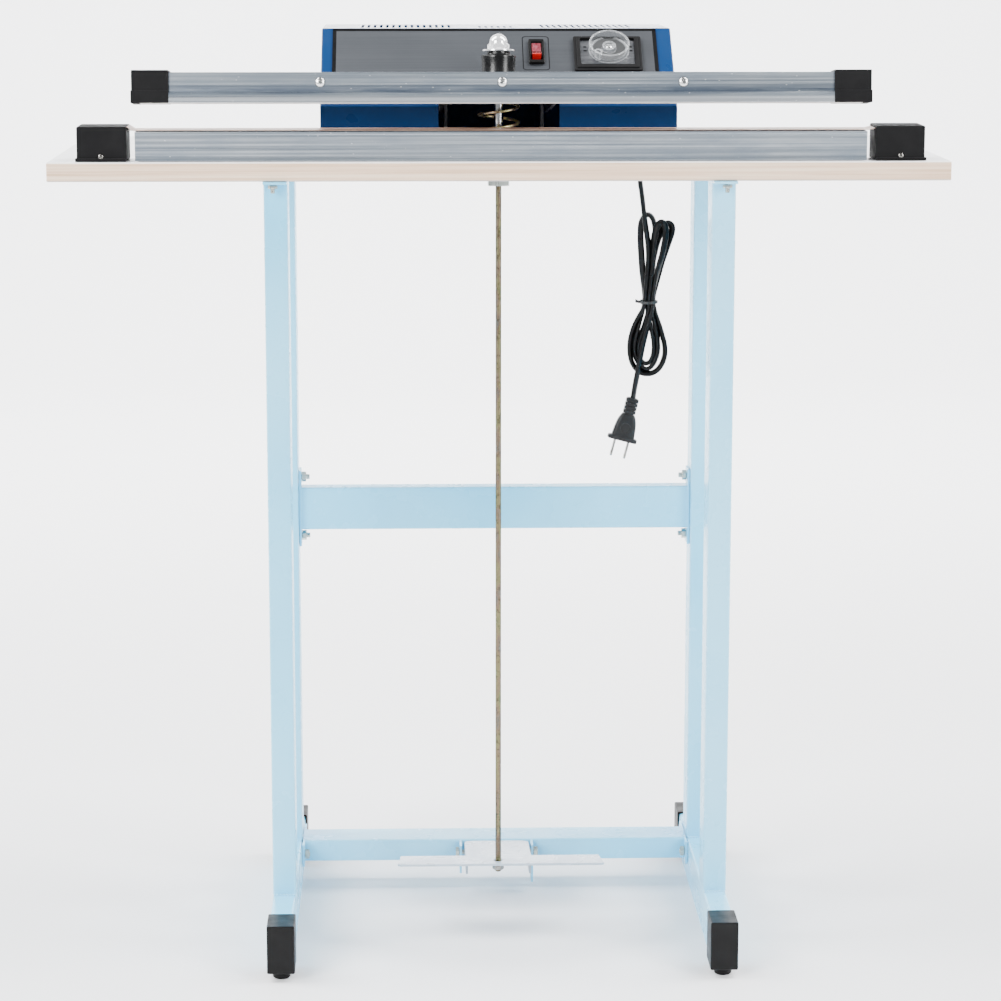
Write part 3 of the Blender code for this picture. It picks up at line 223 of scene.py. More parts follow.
def paint(name, base, darker, lighter, roughness, peel, **sockets):
    """Sprayed paint: orange peel, faint tone changes, dust specks, and paler edges that are partly rubbed
    paint and partly a painted highlight.
    """
    look = Look(name, base, roughness, **sockets)
    tone = look.mix(look.patches(look.noise(9.0, 4.0), 0.35, 0.68), base, darker)
    tone = look.mix(look.patches(look.noise(2.2, 2.0, offset=(3.0, 1.0, 2.0)), 0.4, 0.7, 0.55), tone, lighter)
    scuffs = look.patches(look.noise((260.0, 260.0, 28.0), 5.0, 0.7), 0.77, 0.83)
    tone = look.mix(look.times(scuffs, 0.35), tone, lighter)
    # Paler edges: partly rubbed paint, partly a painted highlight where the edges catch the light.
    rub_and_highlight = look.times(look.edges(0.0012), look.ramp(look.noise(70.0, 4.0), (0.35, 0.2), (0.6, 1.0)))
    tone = look.mix(look.times(rub_and_highlight, 0.6), tone, lighter)
    tone = look.mix(look.times(look.specks(520.0, 0.05), 0.4), tone, darker)
    look.colour(tone)
    look.rough(look.noise(30.0, 3.0), roughness * 0.8, roughness * 1.35)
    look.bump(look.noise(peel, 2.0), 0.12, 0.0004)
    return look.material


def stand_paint():
    return paint("stand_paint", (0.15, 0.60, 0.88), (0.115, 0.53, 0.82), (0.42, 0.74, 0.90), 0.24, 420.0)


def housing_paint():
    coat = {"Coat_Weight": 0.6, "Coat_Roughness": 0.05, "Coat_IOR": 1.25, "Specular_IOR_Level": 0.10}
    return paint(
        "housing_paint",
        (0.0028, 0.025, 0.090),
        (0.0024, 0.021, 0.078),
        (0.005, 0.034, 0.112),
        0.32,
        900.0,
        **coat,
    )


def melamine():
    """White board faces with a pale wood-print edge band."""
    look = Look("melamine", (0.8, 0.8, 0.8), 0.35)
    face = look.mix(look.noise(420.0, 2.0), (0.80, 0.80, 0.80), (0.70, 0.70, 0.71))
    grain = look.noise((5.0, 5.0, 420.0), 6.0, 0.6)
    bands = look.noise((1.6, 1.6, 150.0), 3.0, 0.5, (2.0, 4.0, 1.0))
    edge = look.ramp(
        grain, (0.32, (0.55, 0.36, 0.235)), (0.5, (0.72, 0.53, 0.38)), (0.68, (0.80, 0.64, 0.50))
    )
    edge = look.mix(look.ramp(bands, (0.45, 0.0), (0.7, 0.45)), edge, (0.60, 0.41, 0.28))
    flat = look.between(look.maths("ABSOLUTE", look.facing("Z")), 0.80, 0.9)
    low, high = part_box("table_top")
    height = look.axis("Z")
    # Near-white along the top of the edge band, grey along its bottom.
    crest = look.times(look.between(height, high.z - 0.0012, high.z - 0.0006), 0.85)
    bottom_grey_band = look.times(look.between(height, low.z + 0.0014, low.z + 0.0006), 0.75)
    edge = look.mix(bottom_grey_band, look.mix(crest, edge, (0.86, 0.86, 0.85)), (0.42, 0.40, 0.39))
    look.colour(look.mix(flat, edge, face))
    look.rough(look.noise(60.0, 3.0), 0.28, 0.42)
    look.bump(look.noise((8.0, 8.0, 500.0), 3.0), 0.08, 0.0003)
    return look.material


def plastic(name, base, roughness, grain=1400.0, dust=0.5, **sockets):
    """Moulded plastic: fine spark grain, a little dust, and edges lightened as a painted highlight."""
    look = Look(name, base, roughness, **sockets)
    pale = tuple(min(1.0, c * 1.3 + 0.012) for c in base)
    tone = look.mix(look.patches(look.noise(35.0, 4.0), 0.4, 0.75, dust), base, pale)
    tone = look.mix(look.times(look.specks(260.0, 0.07), dust * 0.5), tone, tuple(c + 0.06 for c in base))
    # Edges lightened: a painted highlight.
    tone = look.mix(look.times(look.edges(0.0006), 0.35), tone, tuple(c + 0.04 for c in base))
    look.colour(tone)
    look.rough(look.noise(80.0, 3.0), roughness * 0.85, roughness * 1.2)
    look.bump(look.noise(grain, 2.0), 0.18, 0.0002)
    return look.material


def metal(name, base, second, roughness, cloud=120.0, streaks=(900.0, 900.0, 60.0), **sockets):
    """Plated steel: mottled tone, fine drawing lines and darker patches."""
    look = Look(name, base, roughness, 1.0, **sockets)
    tone = look.mix(look.patches(look.noise(cloud, 4.0, 0.6), 0.35, 0.66), base, second)
    dark = tuple(c * 0.45 for c in second)
    tone = look.mix(
        look.patches(look.noise(cloud * 2.7, 3.0, 0.6, (5.0, 2.0, 7.0)), 0.60, 0.75, 0.6), tone, dark
    )
    look.colour(tone)
    lines = look.noise(streaks, 3.0)
    look.rough(lines, roughness * 0.75, roughness * 1.35)
    look.bump(lines, 0.10, 0.0002)
    return look.material


def yellow_zinc(name, shade_factor):
    """Yellow passivated zinc, with patches of straw, pink and green; the second argument darkens it all, as
    painted shade.
    """
    look = Look(name, (0.5, 0.4, 0.2), 0.3, 1.0)
    hue = look.noise((160.0, 160.0, 45.0), 3.0, 0.6)
    straw, olive, pink, grey = (0.66, 0.58, 0.29), (0.46, 0.48, 0.24), (0.62, 0.44, 0.30), (0.44, 0.43, 0.36)
    tone = look.ramp(hue, (0.30, olive), (0.43, straw), (0.55, pink), (0.68, grey))
    worn = look.patches(look.noise(330.0, 4.0, 0.7), 0.52, 0.66, 0.8)
    tone = look.mix(worn, tone, (0.22, 0.19, 0.13))
    # The multiply below is painted shade: a darker copy of the same zinc.
    look.colour(look.mix(1.0, tone, (shade_factor, shade_factor, shade_factor), "MULTIPLY"))
    look.rough(look.noise(200.0, 3.0), 0.22, 0.42)
    look.bump(look.noise((700.0, 700.0, 90.0), 3.0), 0.12, 0.0002)
    return look.material


def jaw_aluminium():
    """Extruded aluminium: lines along its length, cloudy oxide, smears low on the upper jaw, nicks."""
    look = Look("aluminium", (0.6, 0.63, 0.66), 0.35, 0.85)
    lines = look.noise((2.5, 520.0, 520.0), 5.0, 0.6)
    cloud = look.noise((16.0, 60.0, 60.0), 4.0, 0.6, (1.0, 7.0, 3.0))
    tone = look.ramp(
        lines, (0.30, (0.20, 0.235, 0.27)), (0.5, (0.33, 0.37, 0.41)), (0.70, (0.50, 0.54, 0.57))
    )
    tone = look.mix(look.ramp(cloud, (0.35, 0.0), (0.7, 0.65)), tone, (0.21, 0.26, 0.32))
    low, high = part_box("upper_jaw")
    height = look.axis("Z")
    middle = look.between(height, low.z + 0.0085, low.z + 0.0105)
    fade = look.between(height, low.z + 0.0190, low.z + 0.0130)
    smear = look.ramp(look.noise((9.0, 90.0, 150.0), 5.0, 0.65, (4.0, 0.0, 2.0)), (0.30, 0.15), (0.55, 1.0))
    smear = look.times(look.times(middle, fade), smear)
    tone = look.mix(look.times(smear, 0.78), tone, (0.05, 0.075, 0.12))
    front = look.between(look.axis("Y"), high.y, high.y - 0.001)
    lip = look.times(
        look.between(height, low.z + 0.0078, low.z + 0.0070), look.between(height, low.z - 0.001, low.z)
    )
    lip = look.times(lip, front)
    tone = look.mix(look.times(lip, 0.6), tone, (0.58, 0.61, 0.64))
    grit = look.times(look.specks((700.0, 900.0, 900.0), 0.16, (0.1, 0.6, 0.4)), lip)
    tone = look.mix(grit, tone, (0.95, 0.95, 0.95))
    nicks = look.specks((90.0, 300.0, 200.0), 0.085, (0.3, 0.1, 0.2))
    scrapes = look.specks((420.0, 900.0, 60.0), 0.05, (0.8, 0.5, 0.1))
    tone = look.mix(look.maths("MAXIMUM", nicks, scrapes), tone, (0.92, 0.93, 0.94))
    # Edges lightened nearly to white: a painted highlight.
    look.colour(look.mix(look.times(look.edges(0.0006), 0.8), tone, (0.88, 0.90, 0.92)))
    look.rough(lines, 0.26, 0.44)
    look.bump(lines, 0.22, 0.0003)
    look.bump(nicks, 0.3, 0.0002)
    return look.material


def ptfe_tape():
    """Brown glass cloth with a darker line above the heating ribbon."""
    look = Look("ptfe", (0.3, 0.17, 0.11), 0.38, Coat_Weight=0.25, Coat_Roughness=0.3)
    warp = look.add("TexWave", wave_type="BANDS", bands_direction="X")
    look.put(warp.inputs["Vector"], look.where)
    look.put(warp.inputs["Scale"], 260.0)
    weft = look.add("TexWave", wave_type="BANDS", bands_direction="Y")
    look.put(weft.inputs["Vector"], look.where)
    look.put(weft.inputs["Scale"], 260.0)
    weave = look.times(warp.outputs["Fac"], weft.outputs["Fac"])
    tone = look.ramp(weave, (0.0, (0.20, 0.10, 0.065)), (1.0, (0.42, 0.25, 0.17)))
    tone = look.mix(
        look.patches(look.noise((18.0, 60.0, 60.0), 4.0), 0.4, 0.7, 0.6), tone, (0.50, 0.38, 0.31)
    )
    low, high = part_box("heating_ribbon")
    middle = (low.y + high.y) / 2
    away = look.maths("ABSOLUTE", look.maths("SUBTRACT", look.axis("Y"), middle))
    scorch = look.between(away, 0.0045, 0.0015)
    look.colour(look.mix(look.times(scorch, 0.55), tone, (0.07, 0.035, 0.02)))
    look.put(look.shader.inputs["Roughness"], look.ramp(weave, (0.0, 0.5), (1.0, 0.32)))
    look.bump(weave, 0.3, 0.0001)
    return look.material


def label_foil():
    """Grey printed foil, brushed from side to side, a little darker towards the right."""
    look = Look("label", (0.035, 0.038, 0.043), 0.36, 0.1, Specular_IOR_Level=0.3)
    brush = look.noise((6.0, 2600.0, 2600.0), 4.0, 0.6)
    tone = look.ramp(brush, (0.3, (0.030, 0.033, 0.038)), (0.7, (0.046, 0.050, 0.056)))
    shade = look.times(look.between(look.axis("X"), -0.05, 0.14), 0.6)
    tone = look.mix(shade, tone, (0.026, 0.028, 0.032))
    look.colour(look.mix(look.patches(look.noise(14.0, 3.0), 0.4, 0.7, 0.35), tone, (0.052, 0.056, 0.063)))
    look.rough(brush, 0.30, 0.44)
    look.bump(brush, 0.06, 0.0001)
    return look.material


def ink(name, colour, roughness=0.4):
    """Screen-printed ink: slightly uneven, with pinholes."""
    look = Look(name, colour, roughness, Specular_IOR_Level=0.08)
    pale = tuple(min(1.0, c * 1.5 + 0.002) for c in colour)
    look.colour(look.mix(look.patches(look.noise(900.0, 3.0), 0.4, 0.75, 0.8), colour, pale))
    look.rough(look.noise(300.0, 2.0), roughness * 0.8, roughness * 1.25)
    look.bump(look.noise(2500.0, 2.0), 0.1, 0.00005)
    return look.material


def clear_plastic(name, tint):
    """Clear acrylic: barely tinted walls, edges painted white and nearly opaque as a painted highlight, faint
    moulding haze.
    """
    look = Look(name, tint, 0.08, IOR=1.49)
    # The white, nearly opaque edges are a painted highlight.
    rim = look.maths("MINIMUM", look.times(look.edges(0.0011), 1.6), 1.0)
    haze = look.ramp(look.noise(160.0, 3.0), (0.35, 0.10), (0.75, 0.26))
    look.put(look.shader.inputs["Alpha"], look.mix(rim, haze, (0.92, 0.92, 0.92)))
    look.colour(look.mix(rim, tint, (0.80, 0.82, 0.83)))
    look.put(look.shader.inputs["Roughness"], look.ramp(look.noise(90.0, 3.0), (0.35, 0.04), (0.75, 0.14)))
    look.bump(look.noise(260.0, 2.0), 0.03, 0.0003)
    return look.material


def rocker_red():
    """Red rocker that lets light through: bright red below, paler pink above as a painted highlight where the
    upper half faces the light, and sides darkened as painted shade.
    """
    look = Look(
        "rocker_red", (0.3, 0.001, 0.001), 0.3, Coat_Weight=0.3, Coat_Roughness=0.12, Specular_IOR_Level=0.2
    )
    low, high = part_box("power_rocker")
    middle = (low.z + high.z) / 2
    height = look.axis("Z")
    # Paler pink for the upper half: a painted highlight where it faces the light.
    pink_highlight = look.ramp(
        look.noise((900.0, 300.0, 300.0), 3.0, 0.6), (0.35, (0.09, 0.003, 0.008)), (0.62, (0.20, 0.05, 0.07))
    )
    tone = look.mix(look.between(height, middle - 0.0002, middle + 0.0010), (0.42, 0.004, 0.003), pink_highlight)
    # A dark line across the middle, and dark bands down both sides that are painted shade, as if the rocker
    # sat deeper in a recess.
    middle_line_and_side_shade = look.between(look.maths("ABSOLUTE", look.maths("SUBTRACT", height, middle)), 0.0009, 0.0004)
    aside = look.maths("ABSOLUTE", look.maths("SUBTRACT", look.axis("X"), (low.x + high.x) / 2))
    middle_line_and_side_shade = look.maths("MAXIMUM", middle_line_and_side_shade, look.between(aside, 0.0034, 0.0039))
    tone = look.mix(middle_line_and_side_shade, tone, (0.012, 0.001, 0.001))
    look.colour(look.mix(look.patches(look.noise(200.0, 3.0), 0.4, 0.7, 0.25), tone, (0.25, 0.004, 0.004)))
    look.rough(look.noise(120.0, 3.0), 0.24, 0.40)
    look.bump(look.noise(600.0, 2.0), 0.08, 0.0002)
    return look.material


def rubber():
    """Glossy black rubber with faint turning rings and bloom."""
    look = Look("rubber", (0.003, 0.003, 0.0033), 0.2, Specular_IOR_Level=0.35)
    bloom = look.patches(look.noise(90.0, 4.0), 0.5, 0.8, 0.35)
    look.colour(look.mix(bloom, (0.003, 0.003, 0.0033), (0.02, 0.02, 0.021)))
    look.rough(look.noise(140.0, 3.0), 0.18, 0.34)
    look.bump(look.noise((30.0, 30.0, 900.0), 2.0), 0.12, 0.0002)
    return look.material


def cord_pvc():
    """Black PVC sheath: satin, with tiny extrusion lines and dust."""
    look = Look("cord", (0.002, 0.002, 0.0021), 0.32, Specular_IOR_Level=0.16)
    dust = look.patches(look.noise(70.0, 5.0, 0.65), 0.5, 0.8, 0.5)
    look.colour(look.mix(dust, (0.002, 0.002, 0.0021), (0.006, 0.006, 0.0063)))
    look.rough(look.noise(240.0, 3.0), 0.26, 0.46)
    look.bump(look.noise(700.0, 3.0), 0.15, 0.0002)
    return look.material


def laminations():
    """Stacked core sheets seen on edge, with rust at the corners."""
    look = Look("core", (0.12, 0.11, 0.10), 0.5, 0.7)
    sheets = look.noise((10.0, 1900.0, 10.0), 2.0)
    tone = look.ramp(sheets, (0.35, (0.05, 0.05, 0.05)), (0.65, (0.22, 0.21, 0.20)))
    look.colour(look.mix(look.patches(look.noise(60.0, 4.0), 0.55, 0.75, 0.7), tone, (0.20, 0.09, 0.04)))
    look.rough(sheets, 0.4, 0.65)
    look.bump(sheets, 0.5, 0.0004)
    return look.material


def winding():
    """Yellow coil tape, overlapped in turns, over the copper."""
    look = Look("winding", (0.55, 0.42, 0.10), 0.35, Coat_Weight=0.4, Coat_Roughness=0.15)
    turns = look.add("TexWave", wave_type="BANDS", bands_direction="Z", wave_profile="SAW")
    look.put(turns.inputs["Vector"], look.where)
    look.put(turns.inputs["Scale"], 38.0)
    look.put(turns.inputs["Distortion"], 0.4)
    stops = (0.0, (0.36, 0.25, 0.05)), (0.3, (0.62, 0.47, 0.11)), (1.0, (0.68, 0.53, 0.15))
    look.colour(look.ramp(turns.outputs["Fac"], *stops))
    look.rough(look.noise(90.0, 3.0), 0.25, 0.45)
    look.bump(turns.outputs["Fac"], 0.5, 0.0004)
    return look.material


LOOKS = {
    "melamine": melamine(),
    "stand_paint": stand_paint(),
    "cap_plastic": plastic("cap_plastic", (0.004, 0.004, 0.0042), 0.42, dust=0.2, Specular_IOR_Level=0.12),
    "zinc": metal("zinc", (0.50, 0.53, 0.50), (0.36, 0.40, 0.37), 0.30),
    "zinc_bright": metal("zinc_bright", (0.80, 0.80, 0.79), (0.62, 0.63, 0.62), 0.14),
    "zinc_yellow": yellow_zinc("zinc_yellow", 1.0),
    "chrome": metal("chrome", (0.92, 0.92, 0.93), (0.86, 0.86, 0.88), 0.09, Metallic=0.55),
    "aluminium": jaw_aluminium(),
    "ribbon": metal("ribbon", (0.52, 0.50, 0.47), (0.40, 0.34, 0.28), 0.35, streaks=(20.0, 900.0, 900.0)),
    "ptfe": ptfe_tape(),
    "silicone": plastic("silicone", (0.72, 0.70, 0.67), 0.55, dust=0.8),
    "box_plastic": plastic("box_plastic", (0.0058, 0.0058, 0.0062), 0.62, dust=0.15, Specular_IOR_Level=0.08),
    "brass": metal("brass", (0.72, 0.52, 0.24), (0.55, 0.38, 0.17), 0.28),
    "arm_steel": paint(
        "arm_steel", (0.30, 0.30, 0.31), (0.16, 0.16, 0.165), (0.70, 0.70, 0.71), 0.35, 700.0, Metallic=0.7
    ),
    "rubber": rubber(),
    "housing_paint": housing_paint(),
    "label": label_foil(),
    "switch_plastic": plastic(
        "switch_plastic", (0.003, 0.003, 0.003), 0.36, dust=0.1, Specular_IOR_Level=0.12
    ),
    "rocker_red": rocker_red(),
    "clear_plastic": clear_plastic("clear_plastic", (0.42, 0.44, 0.46)),
    "core": laminations(),
    "winding": winding(),
    "cord": cord_pvc(),
    "plug": plastic("plug", (0.007, 0.0071, 0.0074), 0.38, dust=0.15, Specular_IOR_Level=0.25),
}
EXTRA = {
    "ink_black": ink("ink_black", (0.002, 0.002, 0.0022)),
    "plate": metal(
        "timer_plate", (0.19, 0.195, 0.205), (0.12, 0.125, 0.135), 0.34, streaks=(14.0, 1500.0, 1500.0)
    ),
    "nickel": metal("nickel", (0.30, 0.29, 0.27), (0.16, 0.155, 0.145), 0.22),
    # The pedal rod: the same yellow zinc darkened to 0.27, as painted shade.
    "rod": yellow_zinc("rod_zinc_painted_shade", 0.27),
    "knob_floor": plastic("knob_floor", (0.020, 0.021, 0.022), 0.5, 900.0, 0.4),
    "tie": plastic("tie_wrap", (0.003, 0.003, 0.003), 0.45),
}
# The pedal: the stand's paint made paler and greyer, a painted reflection of the bright surroundings on its
# upward face.
EXTRA["pedal"] = paint("pedal_paint_reflection", (0.36, 0.44, 0.52), (0.30, 0.39, 0.48), (0.52, 0.56, 0.62), 0.26, 420.0)
NODE_LOOKS = {"pedal_rod": EXTRA["rod"], "pedal": EXTRA["pedal"]}


# Geometry helpers


def finished(name, mesh, look, body, angle=35.0, place=NOWHERE):
    """A new piece from a mesh: placed, smoothed between sharp edges, given its look and body."""
    mesh.transform(place)
    if place.determinant() < 0:
        mesh.flip_normals()
    mesh.shade_smooth()
    mesh.set_sharp_from_angle(angle=math.radians(angle))
    mesh.materials.clear()
    mesh.materials.append(look)
    made = bpy.data.objects.new(name, mesh)
    bpy.context.scene.collection.objects.link(made)
    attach(made, body)
    return made


def mesh_of(builder):
    bmesh.ops.remove_doubles(builder, verts=builder.verts, dist=1e-7)
    bmesh.ops.recalc_face_normals(builder, faces=builder.faces)
    mesh = bpy.data.meshes.new("made")
    builder.to_mesh(mesh)
    builder.free()
    return mesh


def bevelled(mesh, width):
    """The mesh again, with its sharp edges rounded."""
    builder = bmesh.new()
    builder.from_mesh(mesh)
    limit = math.radians(30.0)
    sharp = [e for e in builder.edges if e.is_manifold and e.calc_face_angle() > limit]
    bmesh.ops.bevel(
        builder, geom=sharp, offset=width, segments=2, profile=0.5, affect="EDGES", clamp_overlap=True
    )
    bpy.data.meshes.remove(mesh)
    return mesh_of(builder)


def join_meshes(*meshes):
    builder = bmesh.new()
    for mesh in meshes:
        builder.from_mesh(mesh)
        bpy.data.meshes.remove(mesh)
    made = bpy.data.meshes.new("made")
    builder.to_mesh(made)
    builder.free()
    return made


def loft(rings, closed=False):
    """A skin through rings of as many points each, with end faces unless it closes on itself."""
    builder = bmesh.new()
    rows = [[builder.verts.new(point) for point in ring] for ring in rings]
    pairs = list(zip(rows, rows[1:])) + ([(rows[-1], rows[0])] if closed else [])
    count = len(rows[0])
    for low, high in pairs:
        for number in range(count):
            after = (number + 1) % count
            builder.faces.new((low[number], low[after], high[after], high[number]))
    if not closed:
        builder.faces.new(rows[0][::-1])
        builder.faces.new(rows[-1])
    return mesh_of(builder)


def reach_at(radius, angle, flats):
    """A radius at an angle, kept inside six flat sides if flats gives their distance from the axis."""
    radius = max(radius, 1e-6)
    if flats is None:
        return radius
    part = math.pi / 3
    return min(radius, flats / math.cos((angle % part) - part / 2))


def spun(radius, height, angle, flats):
    reach = reach_at(radius, angle, flats)
    return reach * math.cos(angle), reach * math.sin(angle), height


def lathe(profile, steps=48, flats=None):
    """A profile of (radius, height) turned about Z, with end faces."""
    angles = [2 * math.pi * number / steps for number in range(steps)]
    return loft([[spun(radius, height, angle, flats) for angle in angles] for radius, height in profile])


def lathe_ring(profile, steps=48, flats=None):
    """A closed profile turned about Z, such as a washer or a tube."""
    angles = [2 * math.pi * number / steps for number in range(steps)]
    return loft(
        [[spun(radius, height, angle, flats) for radius, height in profile] for angle in angles], True
    )


def slab(outline, low, high, hole=None):
    """An outline in XY between two heights; hole is an inner outline with as many points."""
    if not hole:
        return loft([[(x, y, low) for x, y in outline], [(x, y, high) for x, y in outline]])
    pairs = ((outline, low), (outline, high), (hole, high), (hole, low))
    return loft([[(x, y, z) for x, y in edge] for edge, z in pairs], closed=True)


def block(low, high):
    (x0, y0, z0), (x1, y1, z1) = low, high
    return slab([(x0, y0), (x1, y0), (x1, y1), (x0, y1)], z0, z1)


def rounded(low, high, radius, steps=6):
    """A rectangle's outline with rounded corners."""
    (x0, y0), (x1, y1) = low, high
    centres = (
        (x1 - radius, y1 - radius),
        (x0 + radius, y1 - radius),
        (x0 + radius, y0 + radius),
        (x1 - radius, y0 + radius),
    )
    points = []
    for corner, (x, y) in enumerate(centres):
        for step in range(steps + 1):
            angle = math.pi / 2 * (corner + step / steps)
            points.append((x + radius * math.cos(angle), y + radius * math.sin(angle)))
    return points


def smooth_line(points, steps):
    """Points on a Catmull-Rom curve through rows of numbers."""
    rows = np.array(points, float)
    padded = np.vstack([2 * rows[0] - rows[1], rows, 2 * rows[-1] - rows[-2]])
    out = []
    for a, b, c, d in zip(padded, padded[1:], padded[2:], padded[3:]):
        for step in range(steps):
            t = step / steps
            square, cube = (2 * a - 5 * b + 4 * c - d) * t**2, (3 * b - a - 3 * c + d) * t**3
            out.append(0.5 * (2 * b + (c - a) * t + square + cube))
    out.append(rows[-1])
    return np.array(out)


def sweep(points, section, across, twists=None):
    """A tube along points. section is an outline (a, b); across is the direction of its a side."""
    points = np.array(points, float)
    tangents = np.gradient(points, axis=0)
    tangents /= np.linalg.norm(tangents, axis=1)[:, None]
    side = np.array(across, float)
    rings = []
    for number, (point, tangent) in enumerate(zip(points, tangents)):
        side = side - tangent * (side @ tangent)
        side /= np.linalg.norm(side)
        other = np.cross(tangent, side)
        twist = math.radians(twists[number]) if twists is not None else 0.0
        wide = side * math.cos(twist) + other * math.sin(twist)
        thin = other * math.cos(twist) - side * math.sin(twist)
        rings.append([tuple(point + wide * a + thin * b) for a, b in section])
    return loft(rings)


def circle(radius, steps=12):
    return [
        (radius * math.cos(2 * math.pi * n / steps), radius * math.sin(2 * math.pi * n / steps))
        for n in range(steps)
    ]


def carved(mesh, *cutters):
    """The mesh less its cutters."""
    body = bpy.data.objects.new("body", mesh)
    bpy.context.scene.collection.objects.link(body)
    tools = []
    for cutter in cutters:
        tool = bpy.data.objects.new("tool", cutter)
        bpy.context.scene.collection.objects.link(tool)
        step = body.modifiers.new("cut", "BOOLEAN")
        step.operation, step.solver, step.object = "DIFFERENCE", "EXACT", tool
        tools.append(tool)
    made = bpy.data.meshes.new_from_object(body.evaluated_get(bpy.context.evaluated_depsgraph_get()))
    for thing in (body, *tools):
        bpy.data.objects.remove(thing)
    return made


def facing_front(x, y, z):
    """Places a part built along +Z so that it points to -Y at a point."""
    return Matrix.Translation((x, y, z)) @ Matrix.Rotation(math.pi / 2, 4, "X")


# Camera and lights


def add_camera():
    camera = bpy.data.cameras.new("camera")
    camera.sensor_width = 36.0
    camera.lens = 109.7
    camera.clip_end = 50.0
    made = bpy.data.objects.new("camera", camera)
    made.location = (-0.07496, -2.6511, 0.8748)
    made.rotation_euler = (math.radians(90 - 10.688), math.radians(-0.03), math.radians(-1.689))
    bpy.context.scene.collection.objects.link(made)
    bpy.context.scene.camera = made


def add_light(name, place, target, size, power):
    light = bpy.data.lights.new(name, "AREA")
    light.shape = "RECTANGLE"
    light.size, light.size_y = size
    light.energy = power
    made = bpy.data.objects.new(name, light)
    made.location = place
    made.rotation_euler = (Vector(target) - Vector(place)).to_track_quat("-Z", "Y").to_euler()
    bpy.context.scene.collection.objects.link(made)


def add_studio():
    """A pale floor that curves up into a wall far behind, and soft boxes over, beside and behind."""
    world = bpy.data.worlds.new("studio")
    world.use_nodes = True
    world.node_tree.nodes["Background"].inputs["Color"].default_value = (0.93, 0.96, 1.0, 1.0)
    world.node_tree.nodes["Background"].inputs["Strength"].default_value = 0.38
    bpy.context.scene.world = world
    middle = (0.0, 0.0, 0.45)
    add_light("over_left", (-1.9, 0.2, 2.7), middle, (1.3, 2.6), 215.0)
    add_light("over_right", (1.9, 0.2, 2.7), middle, (1.3, 2.6), 195.0)
    add_light("front_left", (-2.3, -2.5, 1.9), middle, (1.5, 1.8), 190.0)
    add_light("front_right", (2.4, -2.2, 1.5), middle, (1.1, 1.8), 125.0)
    add_light("behind", (0.0, 2.2, 2.3), (0.0, 4.2, 0.3), (6.0, 1.4), 430.0)
    look = Look("floor", (0.86, 0.86, 0.87), 0.7)
    look.colour(look.mix(look.noise(3.0, 2.0), (0.87, 0.87, 0.88), (0.85, 0.85, 0.86)))
    start, back, bend, top = -8.0, 4.6, 1.4, 5.0
    line = [(start, 0.0), (back - bend, 0.0)]
    for step in range(1, 17):
        angle = math.pi / 2 * step / 16
        line.append((back - bend + bend * math.sin(angle), bend - bend * math.cos(angle)))
    line.append((back, top))
    builder = bmesh.new()
    rows = [[builder.verts.new((x, y, z - 0.0002)) for x in (-9.0, 9.0)] for y, z in line]
    for low, high in zip(rows, rows[1:]):
        builder.faces.new((low[0], low[1], high[1], high[0]))
    mesh = bpy.data.meshes.new("floor")
    builder.to_mesh(mesh)
    builder.free()
    mesh.shade_smooth()
    mesh.materials.append(look.material)
    floor = bpy.data.objects.new("floor", mesh)
    bpy.context.scene.collection.objects.link(floor)


